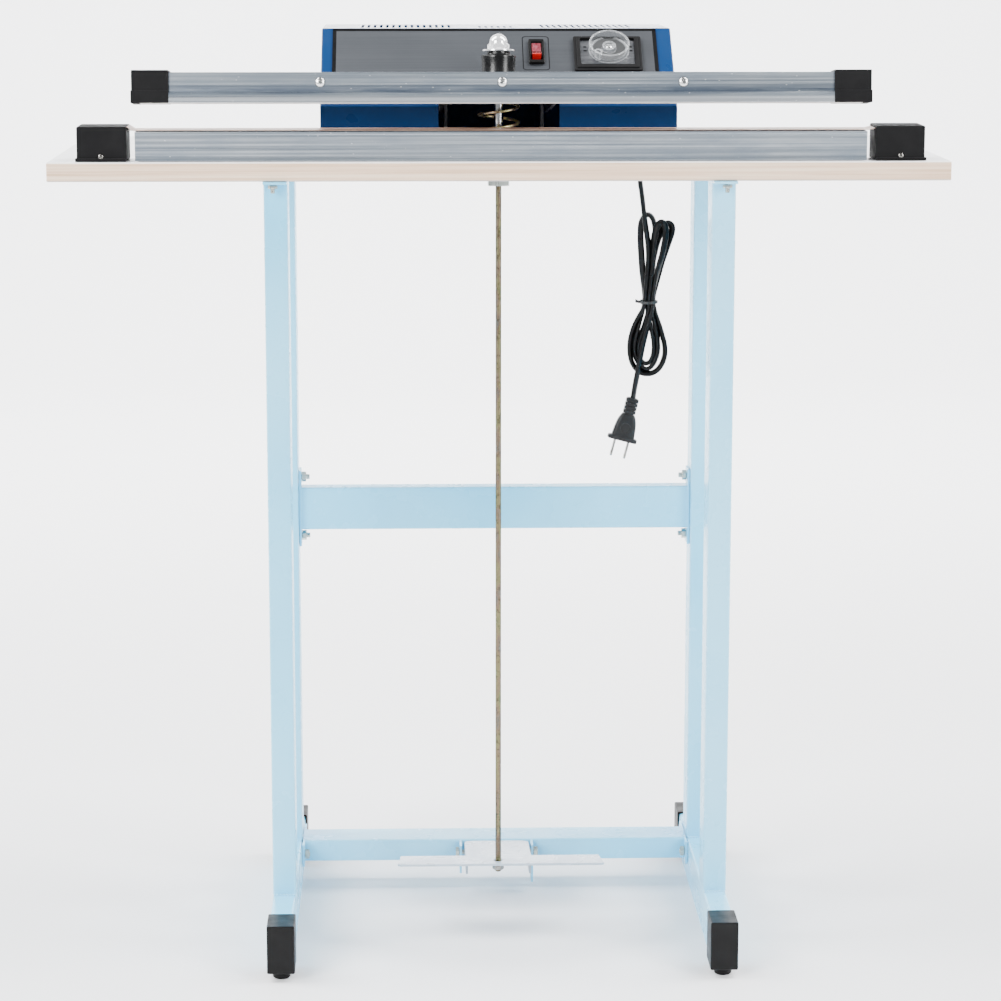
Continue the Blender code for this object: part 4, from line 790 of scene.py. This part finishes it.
# Mains cord: millimetres, (x, offset in y from the cord's plane, z, twist in degrees)
CORD_Y = 84.0
CORD_ROUTE = (
    # from the gland down to the tie
    (131, 0, 657.2, 0), (131.1, 0, 648.4, 0), (132, -0.5, 641.7, 0), (132.9, -1.2, 635, 0),
    (133.8, -2.2, 627.5, 0), (134.7, -2.9, 620, 0), (136.3, -2.9, 608.2, 10), (138.4, -2.9, 594.8, 15),
    (139, -2.9, 583.1, 10), (138.3, -2.9, 569.7, 0), (137.1, -2.9, 556.3, 0), (136, -2.9, 545.4, 0),
    # outer loop below the tie
    (135.5, -2.9, 539.6, 0), (134.2, -2.5, 533.7, 0), (130.4, -1, 527, 0), (126.8, 0.5, 518.6, 0),
    (124.3, 1.2, 510.3, 0), (123, 1.5, 501.9, 0), (123.3, 1.5, 492.7, 0), (125.2, 1.5, 485.2, 0),
    (129.1, 1.5, 479, 0), (134.2, 1.5, 475.4, 0), (139.5, 1.5, 474.6, 0), (144.6, 1.5, 475.6, 0),
    (149.3, 1.5, 479, 0), (153.1, 1.5, 485.2, 0), (155, 1.5, 492.7, 0), (154.6, 1.5, 501.1, 0),
    (152.5, 1.8, 509.4, 0), (149.6, 2.2, 519.5, 0), (146.5, 2.7, 528.7, 0),
    # right loop above the tie
    (144.4, 2.9, 538.7, 0), (144.7, 2.9, 546.3, 5), (146.3, 2.9, 554.6, 15), (148.9, 2.9, 566.4, 25),
    (151.5, 2.9, 576.4, 35), (154.5, 2.9, 585.6, 45), (157.9, 2.9, 595.7, 50), (160.2, 2.9, 603.2, 50),
    (160, 2.9, 608.6, 50), (157.1, 2.9, 610.9, 45), (153.6, 2.9, 609.1, 40), (150.9, 2.9, 604, 30),
    (148.8, 2.9, 598.2, 20), (146.5, 2.9, 589.8, 10), (144.4, 2.9, 578.1, 0), (143, 2.9, 566.4, 0),
    (141.9, 2.9, 554.6, 0), (141.5, 2.9, 545.4, 0),
    # middle loop below the tie
    (141.6, 2.9, 538.7, 0), (142.3, 2.4, 531.2, 0), (144.9, 1.8, 522.8, 0), (147.3, 1.5, 512.8, 0),
    (148.6, 1.5, 502.7, 0), (148.5, 1.5, 494.4, 0), (146.3, 1.5, 486.8, 0), (143, 1.5, 481.3, 0),
    (138.7, 1.5, 478.8, 0), (134.6, 1.5, 480.5, 0), (130.7, 1.5, 485.3, 0), (128.2, 1.5, 491, 0),
    (126.9, 1.5, 496.9, 0), (127.4, 1.6, 504.4, 0), (129.2, 1.8, 512.8, 0), (131.8, 2.3, 522, 0),
    (134.6, 2.7, 531.2, 0),
    # left loop above the tie
    (135.7, 2.9, 539.2, 0), (135.8, 2.9, 546.3, 5), (135.2, 2.9, 556.3, 20), (134.1, 2.9, 568, 30),
    (133.2, 2.9, 579.8, 35), (132.4, 2.9, 591.5, 35), (132, 2.9, 601.5, 25), (132.4, 2.9, 610.7, 10),
    (134.9, 2.9, 616.6, 0), (138.4, 2.9, 618.8, 0), (141.8, 2.9, 616.8, 0), (144, 2.9, 611.9, 0),
    (144.9, 2.9, 604.9, 0), (144.5, 2.9, 596.5, 0), (143, 2.9, 586.5, 0), (141.1, 2.9, 574.7, 0),
    (139.5, 2.9, 563, 0), (138.8, 2.9, 551.3, 0),
    # inner loop below the tie
    (138.5, 2.9, 539.6, 0), (139.1, 2.2, 530.4, 0), (141, 1.4, 521.2, 0), (143.3, 1.1, 511.9, 0),
    (144.9, 1, 502.7, 0), (144.8, 1, 495.2, 0), (143.5, 1, 489.3, 0), (141.1, 1, 485.3, 0),
    (137.5, 1, 484, 0), (134.3, 1, 485.7, 0), (132, 1, 489.3, 0), (130.8, 0.9, 495.2, 0),
    (131.1, 0.5, 502.7, 0), (133.2, 0, 510.3, 0), (135.8, -1, 518.6, 0), (138.1, -2.2, 527.9, 0),
    # middle loop above the tie
    (139.4, -2.9, 537.9, 0), (139.7, -2.9, 546.3, 0), (140.3, -2.9, 554.6, 0), (141.2, -2.9, 566.4, 0),
    (142.1, -2.9, 578.1, 5), (142.8, -2.9, 589.8, 15), (144.1, -2.9, 599.9, 30),
    (145.9, -2.9, 607.4, 40), (148.7, -2.9, 611.6, 45), (151.7, -2.9, 611.8, 45),
    (153.8, -2.9, 607.9, 45), (154.2, -2.9, 601.5, 40), (153.2, -2.9, 593.2, 35),
    (151.1, -2.9, 583.1, 25), (148.3, -2.9, 573.1, 15), (145.7, -2.9, 561.3, 5),
    (143.8, -2.9, 551.3, 0), (142.9, -2.9, 544.6, 0),
    # down to the plug
    (142.7, -3.2, 538.7, 0), (142.1, -3.9, 532, 0), (140.2, -4.4, 524.5, 5), (137.6, -4.6, 514.5, 10),
    (135.1, -4.6, 504.4, 15), (133.2, -4.5, 495.2, 15), (131.7, -4, 486.8, 15),
    (130.6, -3.2, 479.3, 15), (129.6, -2, 473.4, 15), (128.5, -0.8, 466.7, 15), (127.4, -0.2, 460, 10),
    (126.3, 0, 452.5, 10),
)
CORD_WIDTH = 0.0062
CORD_THICKNESS = 0.0035
PLUG_TILT = math.radians(14.5)


def add_cord():
    """One flat two-core cord from the gland to the plug, folded in a hank and tied."""
    turned = []
    for x, dy, z, twist in CORD_ROUTE:
        free = min(1.0, max(0.0, (abs(z - 541.0) - 8.0) / 18.0)) * min(1.0, max(0.0, (657.0 - z) / 6.0))
        turned.append((x, CORD_Y + dy, z, min(62.0, twist + 26.0 * free)))
    rows = smooth_line(turned, 4)
    path = rows[:, :3] * MM
    core = CORD_THICKNESS / 2
    apart = CORD_WIDTH / 2 - core
    section = []
    for side in (1, -1):
        for step in range(7):
            angle = math.radians(-81 + 27 * step) + (0.0 if side > 0 else math.pi)
            section.append((side * apart + core * math.cos(angle), core * math.sin(angle)))
    cord = sweep(path, section, (0.0, 1.0, 0.0), rows[:, 3])
    cord = finished("mains_cord", cord, LOOKS["cord"], "stand", 60.0)
    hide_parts("cord_lead", "cord_hank", "cord_tail")
    plug = add_plug()
    tie = add_cord_tie()


def add_cord_tie():
    """A plastic-covered wire wound twice round the hank, its ends twisted together at the left."""
    middle = Vector((139.9, CORD_Y - 0.2, 540.4))
    ring = []
    turns, per_turn = 2, 32
    for number in range(turns * per_turn + 1):
        angle = math.pi + 2 * math.pi * number / per_turn
        rise = 2.2 * (number / (turns * per_turn) - 0.5)
        ring.append((middle.x + 7.3 * math.cos(angle), middle.y + 7.4 * math.sin(angle), middle.z + rise))
    band = sweep(np.array(ring) * MM, circle(0.0008, 10), (0.0, 0.0, 1.0))
    pieces = [finished("tie_band", band, EXTRA["tie"], "stand", 60.0)]
    for word, phase in (("upper", 0.0), ("lower", math.pi)):
        line = []
        for number in range(40):
            along = number / 39
            angle = phase + 9.0 * along
            spread = 0.75 + 0.5 * along**3
            drop = -0.6 * along + 1.6 * along**2
            y, z = middle.y + spread * math.sin(angle), middle.z + drop + spread * math.cos(angle)
            line.append((132.7 - 4.9 * along, y, z))
        end = sweep(np.array(line) * MM, circle(0.00065, 8), (0.0, 1.0, 0.0))
        pieces.append(finished(f"tie_end_{word}", end, EXTRA["tie"], "stand", 60.0))
    return pieces


def plug_section(half_width, half_depth):
    """A rounded-rectangle section of the plug."""
    points = []
    steps, power = 40, 0.42
    for number in range(steps):
        angle = 2 * math.pi * number / steps
        c, s = math.cos(angle), math.sin(angle)
        points.append(
            (half_width * math.copysign(abs(c) ** power, c), half_depth * math.copysign(abs(s) ** power, s))
        )
    return points


def add_plug():
    """Strain relief with ribs, flared grip, front flange and two flat blades."""
    x, _, z, _ = CORD_ROUTE[-1]
    place = Matrix.Translation((x * MM, CORD_Y * MM, z * MM)) @ Matrix.Rotation(PLUG_TILT, 4, "Y")
    stations = [(0.2, 3.6, 2.9), (-0.3, 5.0, 4.0)]
    for rib in range(4):
        top = -1.0 - 3.5 * rib
        stations += [(top, 5.8, 4.4), (top - 2.5, 5.8, 4.4), (top - 2.65, 4.3, 3.2), (top - 3.35, 4.3, 3.2)]
    stations += [
        (-15.0, 5.4, 4.3), (-16.2, 6.2, 4.7), (-18.2, 7.3, 5.1), (-20.5, 8.2, 5.4), (-24.0, 9.1, 5.6)
    ]
    stations += [
        (-28.5, 9.8, 5.7), (-33.0, 10.2, 5.7), (-36.2, 10.5, 5.7), (-36.7, 12.9, 5.9), (-37.1, 13.5, 6.2)
    ]
    stations += [(-39.5, 13.6, 6.2), (-40.0, 13.1, 5.9)]
    rings = [
        [(a * MM, b * MM, height * MM) for a, b in plug_section(width, shade_factor)]
        for height, width, shade_factor in stations
    ]
    body = loft(rings)
    dishes = []
    for side in (-1, 1):
        dish = lathe([(4.6 * MM, 0.0), (4.9 * MM, 0.9 * MM)], 48)
        seat = Matrix.Translation((0, side * (5.7 * MM - 0.35 * MM), -28.0 * MM))
        dish.transform(seat @ Matrix.Rotation(-side * math.pi / 2, 4, "X"))
        dishes.append(dish)
    body = carved(body, *dishes)
    plug = finished("plug_body", body, LOOKS["plug"], "stand", 32.0, place)
    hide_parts("plug")
    blades = []
    for side in (-1, 1):
        outline, hole = [], []
        half, end, start = 3.15, -56.0, -39.6
        for number in range(32):
            angle = 2 * math.pi * number / 32
            c, s = math.cos(angle), math.sin(angle)
            flank = c * 1.42
            if abs(flank) < 1:
                along = start if s > 0 else end + 1.6 * flank**4
            else:
                along = start + (end + 1.6 - start) * (1 - (s / 0.71 + 1) / 2)
            outline.append((half * max(-1.0, min(1.0, flank)) * MM, along * MM))
            hole.append((1.4 * c * MM, (-52.0 + 1.4 * s) * MM))
        blade = slab(outline, -0.9 * MM, 0.9 * MM, hole)
        turn = Matrix(((0, 0, 1, side * 6.25 * MM), (1, 0, 0, 0), (0, 1, 0, 0), (0, 0, 0, 1)))
        blade.transform(turn)
        blades.append(blade)
    blades = bevelled(join_meshes(*blades), 0.00025)
    blades = finished("plug_blades", blades, EXTRA["nickel"], "stand", 35.0, place)
    blades.parent = plug
    blades.matrix_parent_inverse = Matrix.Identity(4)
    return plug


# CAD pieces that keep their shape

EDGE_ROUNDING = {
    "table_top": 0.0007,
    "lower_jaw": 0.00035,
    "upper_jaw": 0.00035,
    "arm_bracket": 0.0005,
    "pivot_bracket": 0.0005,
    "pedal": 0.0005,
    "crossbar_lower": 0.0004,
    "crossbar_upper": 0.0004,
    "housing": 0.00025,
    "ptfe_tape": 0.00012,
    "heating_ribbon": 0.00008,
    "control_label": 0.0001,
}
DEFAULT_ROUNDING = 0.0003


def dress_cad():
    """Fine edges and the detailed look of its slot for every CAD piece."""
    for name, node in nodes.items():
        weld = node.modifiers.new("weld", "WELD")
        weld.merge_threshold = 1e-6
        node.data.shade_smooth()
        edge = node.modifiers.new("edge", "BEVEL")
        edge.width = EDGE_ROUNDING.get(name, DEFAULT_ROUNDING)
        edge.segments = 2
        edge.limit_method = "ANGLE"
        edge.angle_limit = math.radians(33)
        edge.use_clamp_overlap = True
        edge.miter_outer = "MITER_ARC"
        even = node.modifiers.new("even", "WEIGHTED_NORMAL")
        even.weight = 60
        for slot in node.material_slots:
            slot.material = NODE_LOOKS.get(name) or LOOKS[slot.material.name.split(".")[0]]


def size_of(node):
    low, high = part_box(node)
    return low, high, (low + high) / 2


# Screws, nuts and other hardware


def pan_head(radius, height, turn, recess=0.55):
    """A domed screw head with a cross recess, seated on z 0."""
    profile = [(radius, 0.0), (radius, height * 0.25)]
    for step in range(1, 9):
        angle = math.pi / 2 * step / 8
        profile.append((radius * math.cos(angle), height * (0.25 + 0.75 * math.sin(angle))))
    head = lathe(profile, 36)
    arm, half = radius * recess, radius * 0.11
    cutters = []
    for quarter in (0, 1):
        low = [
            (-arm * 0.55, -half * 0.6),
            (arm * 0.55, -half * 0.6),
            (arm * 0.55, half * 0.6),
            (-arm * 0.55, half * 0.6),
        ]
        high = [(-arm, -half), (arm, -half), (arm, half), (-arm, half)]
        cross = loft([[(x, y, height * 0.35) for x, y in low], [(x, y, height * 1.2) for x, y in high]])
        cross.transform(Matrix.Rotation(turn + quarter * math.pi / 2, 4, "Z"))
        cutters.append(cross)
    return carved(head, *cutters)


def threaded(radius, start, end, pitch, steps=20):
    """A screw's shank with rounded thread ridges, along Z."""
    profile = [(0.0, start), (radius * 0.86, start)]
    count = max(2, int(abs(end - start) / pitch))
    step = (end - start) / count
    for number in range(count):
        at = start + step * number
        profile += [
            (radius * 0.86, at + step * 0.15), (radius, at + step * 0.5), (radius * 0.86, at + step * 0.85)
        ]
    profile += [(radius * 0.86, end), (0.0, end)]
    return lathe(profile, steps)


def hex_nut(flats, bore, low, high):
    """A hexagonal nut with chamfered corners and a bore."""
    half = flats / 2
    corner = half / math.cos(math.pi / 6)
    ease = (corner - half) * 0.55
    profile = [
        (bore, low),
        (half * 0.98, low),
        (corner, low + ease),
        (corner, high - ease),
        (half * 0.98, high),
        (bore, high),
    ]
    return lathe_ring(profile, 48, half)


def add_jaw_screws():
    """Three pan heads on the front of the upper jaw, above its lip."""
    face = -0.1118
    for word, x, turn in (("left", -0.149, 0.5), ("middle", 0.0016, 1.1), ("right", 0.1517, 0.2)):
        washer = lathe_ring([(0.0018, 0.0), (0.0043, 0.0), (0.0043, 0.0004), (0.0018, 0.0004)], 40)
        head = pan_head(0.0038, 0.0022, turn)
        head.transform(Matrix.Translation((0, 0, 0.0004)))
        place = ARM @ facing_front(x, face, 0.7252)
        finished(
            f"jaw_screw_{word}",
            join_meshes(washer, head),
            LOOKS["zinc_bright"],
            "arm",
            30.0,
            place,
        )


def add_box_screws():
    """One small screw low on the front of each terminal box."""
    for word in ("left", "right"):
        low, _, middle = size_of(f"terminal_box_{word}")
        head = pan_head(0.0023, 0.0013, 0.6 if word == "left" else 1.2, 0.8)
        place = facing_front(middle.x, low.y + 0.0011, low.z + 0.0040)
        finished(f"box_screw_{word}", head, EXTRA["nickel"], "stand", 30.0, place)


def add_rear_bolts():
    """Studs and nuts under the table at the rear legs, like those at the front."""
    for word in ("left", "right"):
        low, high, front = size_of(f"table_bolt_{word}")
        back = size_of(f"leg_rear_{word}")[1].y - 0.0100
        for where, y in (("front", front.y), ("rear", back)):
            stud = threaded(0.0019, low.z - 0.0002, high.z - 0.0015, 0.0007)
            pair = join_meshes(stud, hex_nut(0.0070, 0.0019, 0.6598, 0.6628))
            pair.transform(Matrix.Translation((front.x, y, 0)))
            finished(f"table_nut_{where}_{word}", pair, LOOKS["zinc"], "stand", 30.0)


def add_buffer_stack():
    """The domed nut, washer and buffer over the pull bar, all on the open arm."""
    washer_low = ARM_TOP + GAP + BUFFER_HEIGHT + NECK_HEIGHT + GAP
    base = washer_low + WASHER_HEIGHT + GAP
    half, corner, dome = 0.0080, 0.0080 / math.cos(math.pi / 6), 0.0077
    profile = [
        (0.0, base),
        (half * 0.97, base),
        (corner, base + 0.0007),
        (corner, base + 0.0036),
        (half, base + 0.0046),
    ]
    profile += [(dome, base + 0.0049), (dome, base + 0.0053)]
    for step in range(1, 13):
        angle = math.pi / 2 * step / 12
        profile.append((dome * math.cos(angle), base + 0.0053 + dome * math.sin(angle)))
    place = ARM @ Matrix.Translation((0, BUFFER_Y, 0))
    nut = lathe(profile, 72, half)
    nut = finished("acorn_nut_detail", nut, LOOKS["chrome"], "arm", 28.0, place)
    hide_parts("acorn_nut")

    bore, rim, edge = 0.0045, 0.0135, 0.0002
    low, high = washer_low, washer_low + WASHER_HEIGHT
    ring = [(bore, low), (rim - edge, low), (rim, low + edge)]
    ring += [(rim, high - edge), (rim - edge, high), (bore, high)]
    washer = finished(
        "buffer_washer_detail", lathe_ring(ring, 64), LOOKS["chrome"], "arm", 28.0, place
    )
    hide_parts("buffer_washer")

    bottom = ARM_TOP + GAP
    shoulder = bottom + BUFFER_HEIGHT
    wide = 0.0146
    ring = [
        (0.007, bottom), (wide - 0.0006, bottom), (wide - 0.0001, bottom + 0.0003), (wide, bottom + 0.0009)
    ]
    for step in range(1, 8):
        along = step / 8
        ring.append((wide - 0.0005 * math.sin(math.pi * along), bottom + BUFFER_HEIGHT * along))
    ring += [(wide, shoulder - 0.0009), (wide - 0.0002, shoulder - 0.0003), (wide - 0.0008, shoulder)]
    ring += [
        (0.0100, shoulder + 0.0002),
        (0.0097, shoulder + 0.0006),
        (0.0097, shoulder + 0.0029),
        (0.007, shoulder + NECK_HEIGHT),
    ]
    buffer = finished(
        "rubber_buffer_detail", lathe_ring(ring, 72), LOOKS["rubber"], "arm", 40.0, place
    )
    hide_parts("rubber_buffer")


def add_spring():
    """The return spring: round wire, closed flat at both ends."""
    low, high = 0.6837, 0.7396
    radius, wire, turns, flat, per_turn = 0.01675, 0.00125, 5.2, 0.5, 40
    rise = (high - low) / (turns - 2 * flat)
    count = round(turns * per_turn)
    line = []
    for number in range(count + 1):
        turn = number / per_turn
        height = rise * min(max(turn - flat, 0.0), turns - 2 * flat)
        angle = 2 * math.pi * turn + math.pi
        line.append((radius * math.cos(angle), radius * math.sin(angle), low + height))
    line = np.array(line) + np.array((0.0, -0.0543, 0.0))
    coil = sweep(line, circle(wire, 14), (0.0, 0.0, 1.0))
    spring = finished("spring_wire", coil, LOOKS["zinc_yellow"], "stand", 60.0)
    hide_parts("return_spring")
    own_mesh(spring)


def add_rod_thread():
    """The threads low on the pedal rod and the nut that holds the pedal on them."""
    low, _, middle = size_of("pedal_rod")
    thread = threaded(0.00262, low.z + 0.0006, low.z + 0.0330, 0.0008, 24)
    thread.transform(Matrix.Translation((0, middle.y, 0)))
    finished("pedal_rod_thread", thread, EXTRA["rod"], "pull_rod", 30.0)
    nut_low, nut_high, nut_middle = size_of("rod_nut")
    nut = hex_nut(0.0088, 0.0028, nut_low.z, nut_high.z)
    nut.transform(Matrix.Translation((0, nut_middle.y, 0)))
    nut = finished("rod_nut_detail", nut, EXTRA["nickel"], "pull_rod", 30.0)
    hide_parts("rod_nut")


# Stand details


def add_weld_beads():
    """A rippled weld round the foot of each leg, on the foot tube."""
    for word in ("front_left", "front_right", "rear_left", "rear_right"):
        low, high, _ = size_of(f"leg_{word}")
        foot = size_of("foot_tube_" + word.split("_")[1])[1].z
        y0, y1 = FRONT_LEG if word.startswith("front") else REAR_LEG
        for side, y in (("front", y0 - 0.0002), ("back", y1 + 0.0002)):
            line, sizes = [], []
            for number in range(49):
                along = number / 48
                line.append((low.x + 0.001 + (high.x - low.x - 0.002) * along, y, foot + 0.0002))
                sizes.append(1.0 + 0.22 * math.sin(along * 44.0) + 0.1 * math.sin(along * 17.0 + low.x * 900))
            rings = []
            for (x, yy, z), size in zip(line, sizes):
                around = np.linspace(0, 2 * math.pi, 12, endpoint=False)
                bead = 0.0013 * size
                rings.append([(x, yy + bead * math.cos(a), z + bead * math.sin(a)) for a in around])
            finished(f"weld_{word}_{side}", loft(rings), LOOKS["stand_paint"], "stand", 60.0)


# Control panel


def on_panel(mesh, name, look, body, angle=35.0):
    return finished(name, mesh, look, body, angle, PANEL)


def add_label_print():
    """The printed frame round the label and the one round the switch."""
    left, right = -0.1410, 0.1375
    bottom, top = 0.006, 0.1012
    notch = 0.053
    line = 0.0032
    start = LABEL_FACE + 0.00002
    strips = (
        ((left, bottom), (left + line, top)),
        ((right - line, bottom), (right, top)),
        ((left, top - line), (right, top)),
        ((left, bottom), (-notch, bottom + line)),
        ((notch, bottom), (right, bottom + line)),
    )
    border = [block((*low, start), (*high, start + 0.00006)) for low, high in strips]
    on_panel(join_meshes(*border), "label_border", EXTRA["ink_black"], "stand")
    outer = rounded((0.0216, 0.0458), (0.0446, 0.0907), 0.0030)
    inner = rounded((0.0223, 0.0465), (0.0439, 0.0900), 0.0025)
    on_panel(
        slab(outer, start, start + 0.00006, inner), "switch_outline", EXTRA["ink_black"], "stand"
    )


def add_timer_face():
    """The timer's silver plate in its stepped black bezel, and the scale printed on it."""
    x, u = 0.0945, 0.0649
    face = TIMER_FACE
    out_low, out_high = (x - 0.0290, u - 0.0223), (x + 0.0290, u + 0.0223)
    low, high = (x - 0.0234, u - 0.0158), (x + 0.0232, u + 0.0186)
    steps = ((0.0, 0.0, 0.0013), (0.0024, 0.0011, 0.0025))
    rims = []
    for inset, start, end in steps:
        outer = rounded(
            (out_low[0] + inset, out_low[1] + inset), (out_high[0] - inset, out_high[1] - inset), 0.0016
        )
        rims.append(bevelled(slab(outer, face + start, face + end, rounded(low, high, 0.0012)), 0.0003))
    on_panel(join_meshes(*rims), "timer_rim", LOOKS["box_plastic"], "stand")
    plate = slab(
        rounded((low[0] + 0.0002, low[1] + 0.0002), (high[0] - 0.0002, high[1] - 0.0002), 0.0011),
        face,
        face + 0.0004,
    )
    on_panel(plate, "timer_plate", EXTRA["plate"], "stand")
    marks = []
    for number in range(21):
        angle = math.radians(240 - 300 * number / 20)
        long = number % 2 == 0
        start, end = 0.0136, 0.0136 + (0.0026 if long else 0.0015)
        half = 0.00022 if long else 0.00015
        mark = block((start, -half, face + 0.0004), (end, half, face + 0.00048))
        mark.transform(Matrix.Translation((*KNOB_PLACE, 0)) @ Matrix.Rotation(angle, 4, "Z"))
        marks.append(mark)
    for corner_x, corner_u in ((-0.0206, 0.0030), (-0.0206, 0.0080), (0.0186, 0.0030), (0.0186, 0.0080)):
        low = (x + corner_x, u + corner_u, face + 0.0004)
        marks.append(block(low, (x + corner_x + 0.0028, u + corner_u + 0.0016, face + 0.00048)))
    on_panel(join_meshes(*marks), "timer_scale", EXTRA["ink_black"], "stand")


def add_knob():
    """A clear cup-shaped knob: outer wall, dark floor, hub with a screw, and a notch for the finger."""
    place = Matrix.Translation((*KNOB_PLACE, 0))
    bottom = TIMER_FACE + 0.0006
    radius, tall = 0.0174, 0.0085
    top = bottom + tall
    profile = [(0.0, bottom), (radius - 0.0003, bottom), (radius, bottom + 0.0003), (radius, top - 0.0004)]
    profile += [(radius - 0.0004, top), (radius - 0.0012, top), (radius - 0.0016, top - 0.0004)]
    profile += [
        (radius - 0.0018, bottom + 0.0018), (radius - 0.0024, bottom + 0.0013), (0.0062, bottom + 0.0013)
    ]
    profile += [
        (0.0058, bottom + 0.0018),
        (0.0058, bottom + 0.0054),
        (0.0054, bottom + 0.0058),
        (0.0042, bottom + 0.0058),
    ]
    profile += [(0.0038, bottom + 0.0054), (0.0036, bottom + 0.0036), (0.0, bottom + 0.0034)]
    shell = lathe(profile, 96)
    shell.transform(place)
    knob = on_panel(shell, "knob_shell", LOOKS["clear_plastic"], "knob", 30.0)
    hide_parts("timer_knob")
    turn = place @ Matrix.Rotation(math.radians(229), 4, "Z")
    outline = [(radius - 0.0024 + x, y) for x, y in circle(0.0034, 40)]
    inside = [(radius - 0.0024 + x, y) for x, y in circle(0.0024, 40)]
    keep = radius - 0.0010
    outline = [(min(x, math.sqrt(keep**2 - y**2)), y) for x, y in outline]
    inside = [(min(x, math.sqrt(keep**2 - y**2) - 0.0004), y) for x, y in inside]
    notch = bevelled(slab(outline, bottom + 0.0012, top - 0.0002, inside), 0.0002)
    notch.transform(turn)
    on_panel(notch, "knob_notch", LOOKS["clear_plastic"], "knob", 30.0)
    low, high = bottom + 0.00135, bottom + 0.0016
    floor = lathe_ring([(0.0064, low), (0.0140, low), (0.0140, high), (0.0064, high)], 72)
    floor.transform(place)
    on_panel(floor, "knob_floor", EXTRA["knob_floor"], "knob")
    screw = pan_head(0.0026, 0.0012, 0.5)
    screw.transform(place @ Matrix.Translation((0, 0, bottom + 0.0035)))
    on_panel(screw, "knob_screw", LOOKS["zinc_bright"], "knob", 30.0)


def add_switch_detail():
    """A raised rim round the switch's well."""
    x, u = 0.0336, 0.0685
    face = LABEL_FACE + GAP + 0.0018
    outer = rounded((x - 0.0066, u - 0.0153), (x + 0.0066, u + 0.0153), 0.0012)
    inner = rounded((x - 0.0050, u - 0.0119), (x + 0.0050, u + 0.0119), 0.0005)
    rim = bevelled(slab(outer, face - 0.0002, face + 0.0008, inner), 0.0003)
    on_panel(rim, "switch_rim", LOOKS["switch_plastic"], "stand")


add_camera()
add_studio()
add_cord()
dress_cad()
add_jaw_screws()
add_box_screws()
add_rear_bolts()
add_buffer_stack()
add_spring()
add_rod_thread()
add_weld_beads()
add_label_print()
add_timer_face()
add_knob()
add_switch_detail()
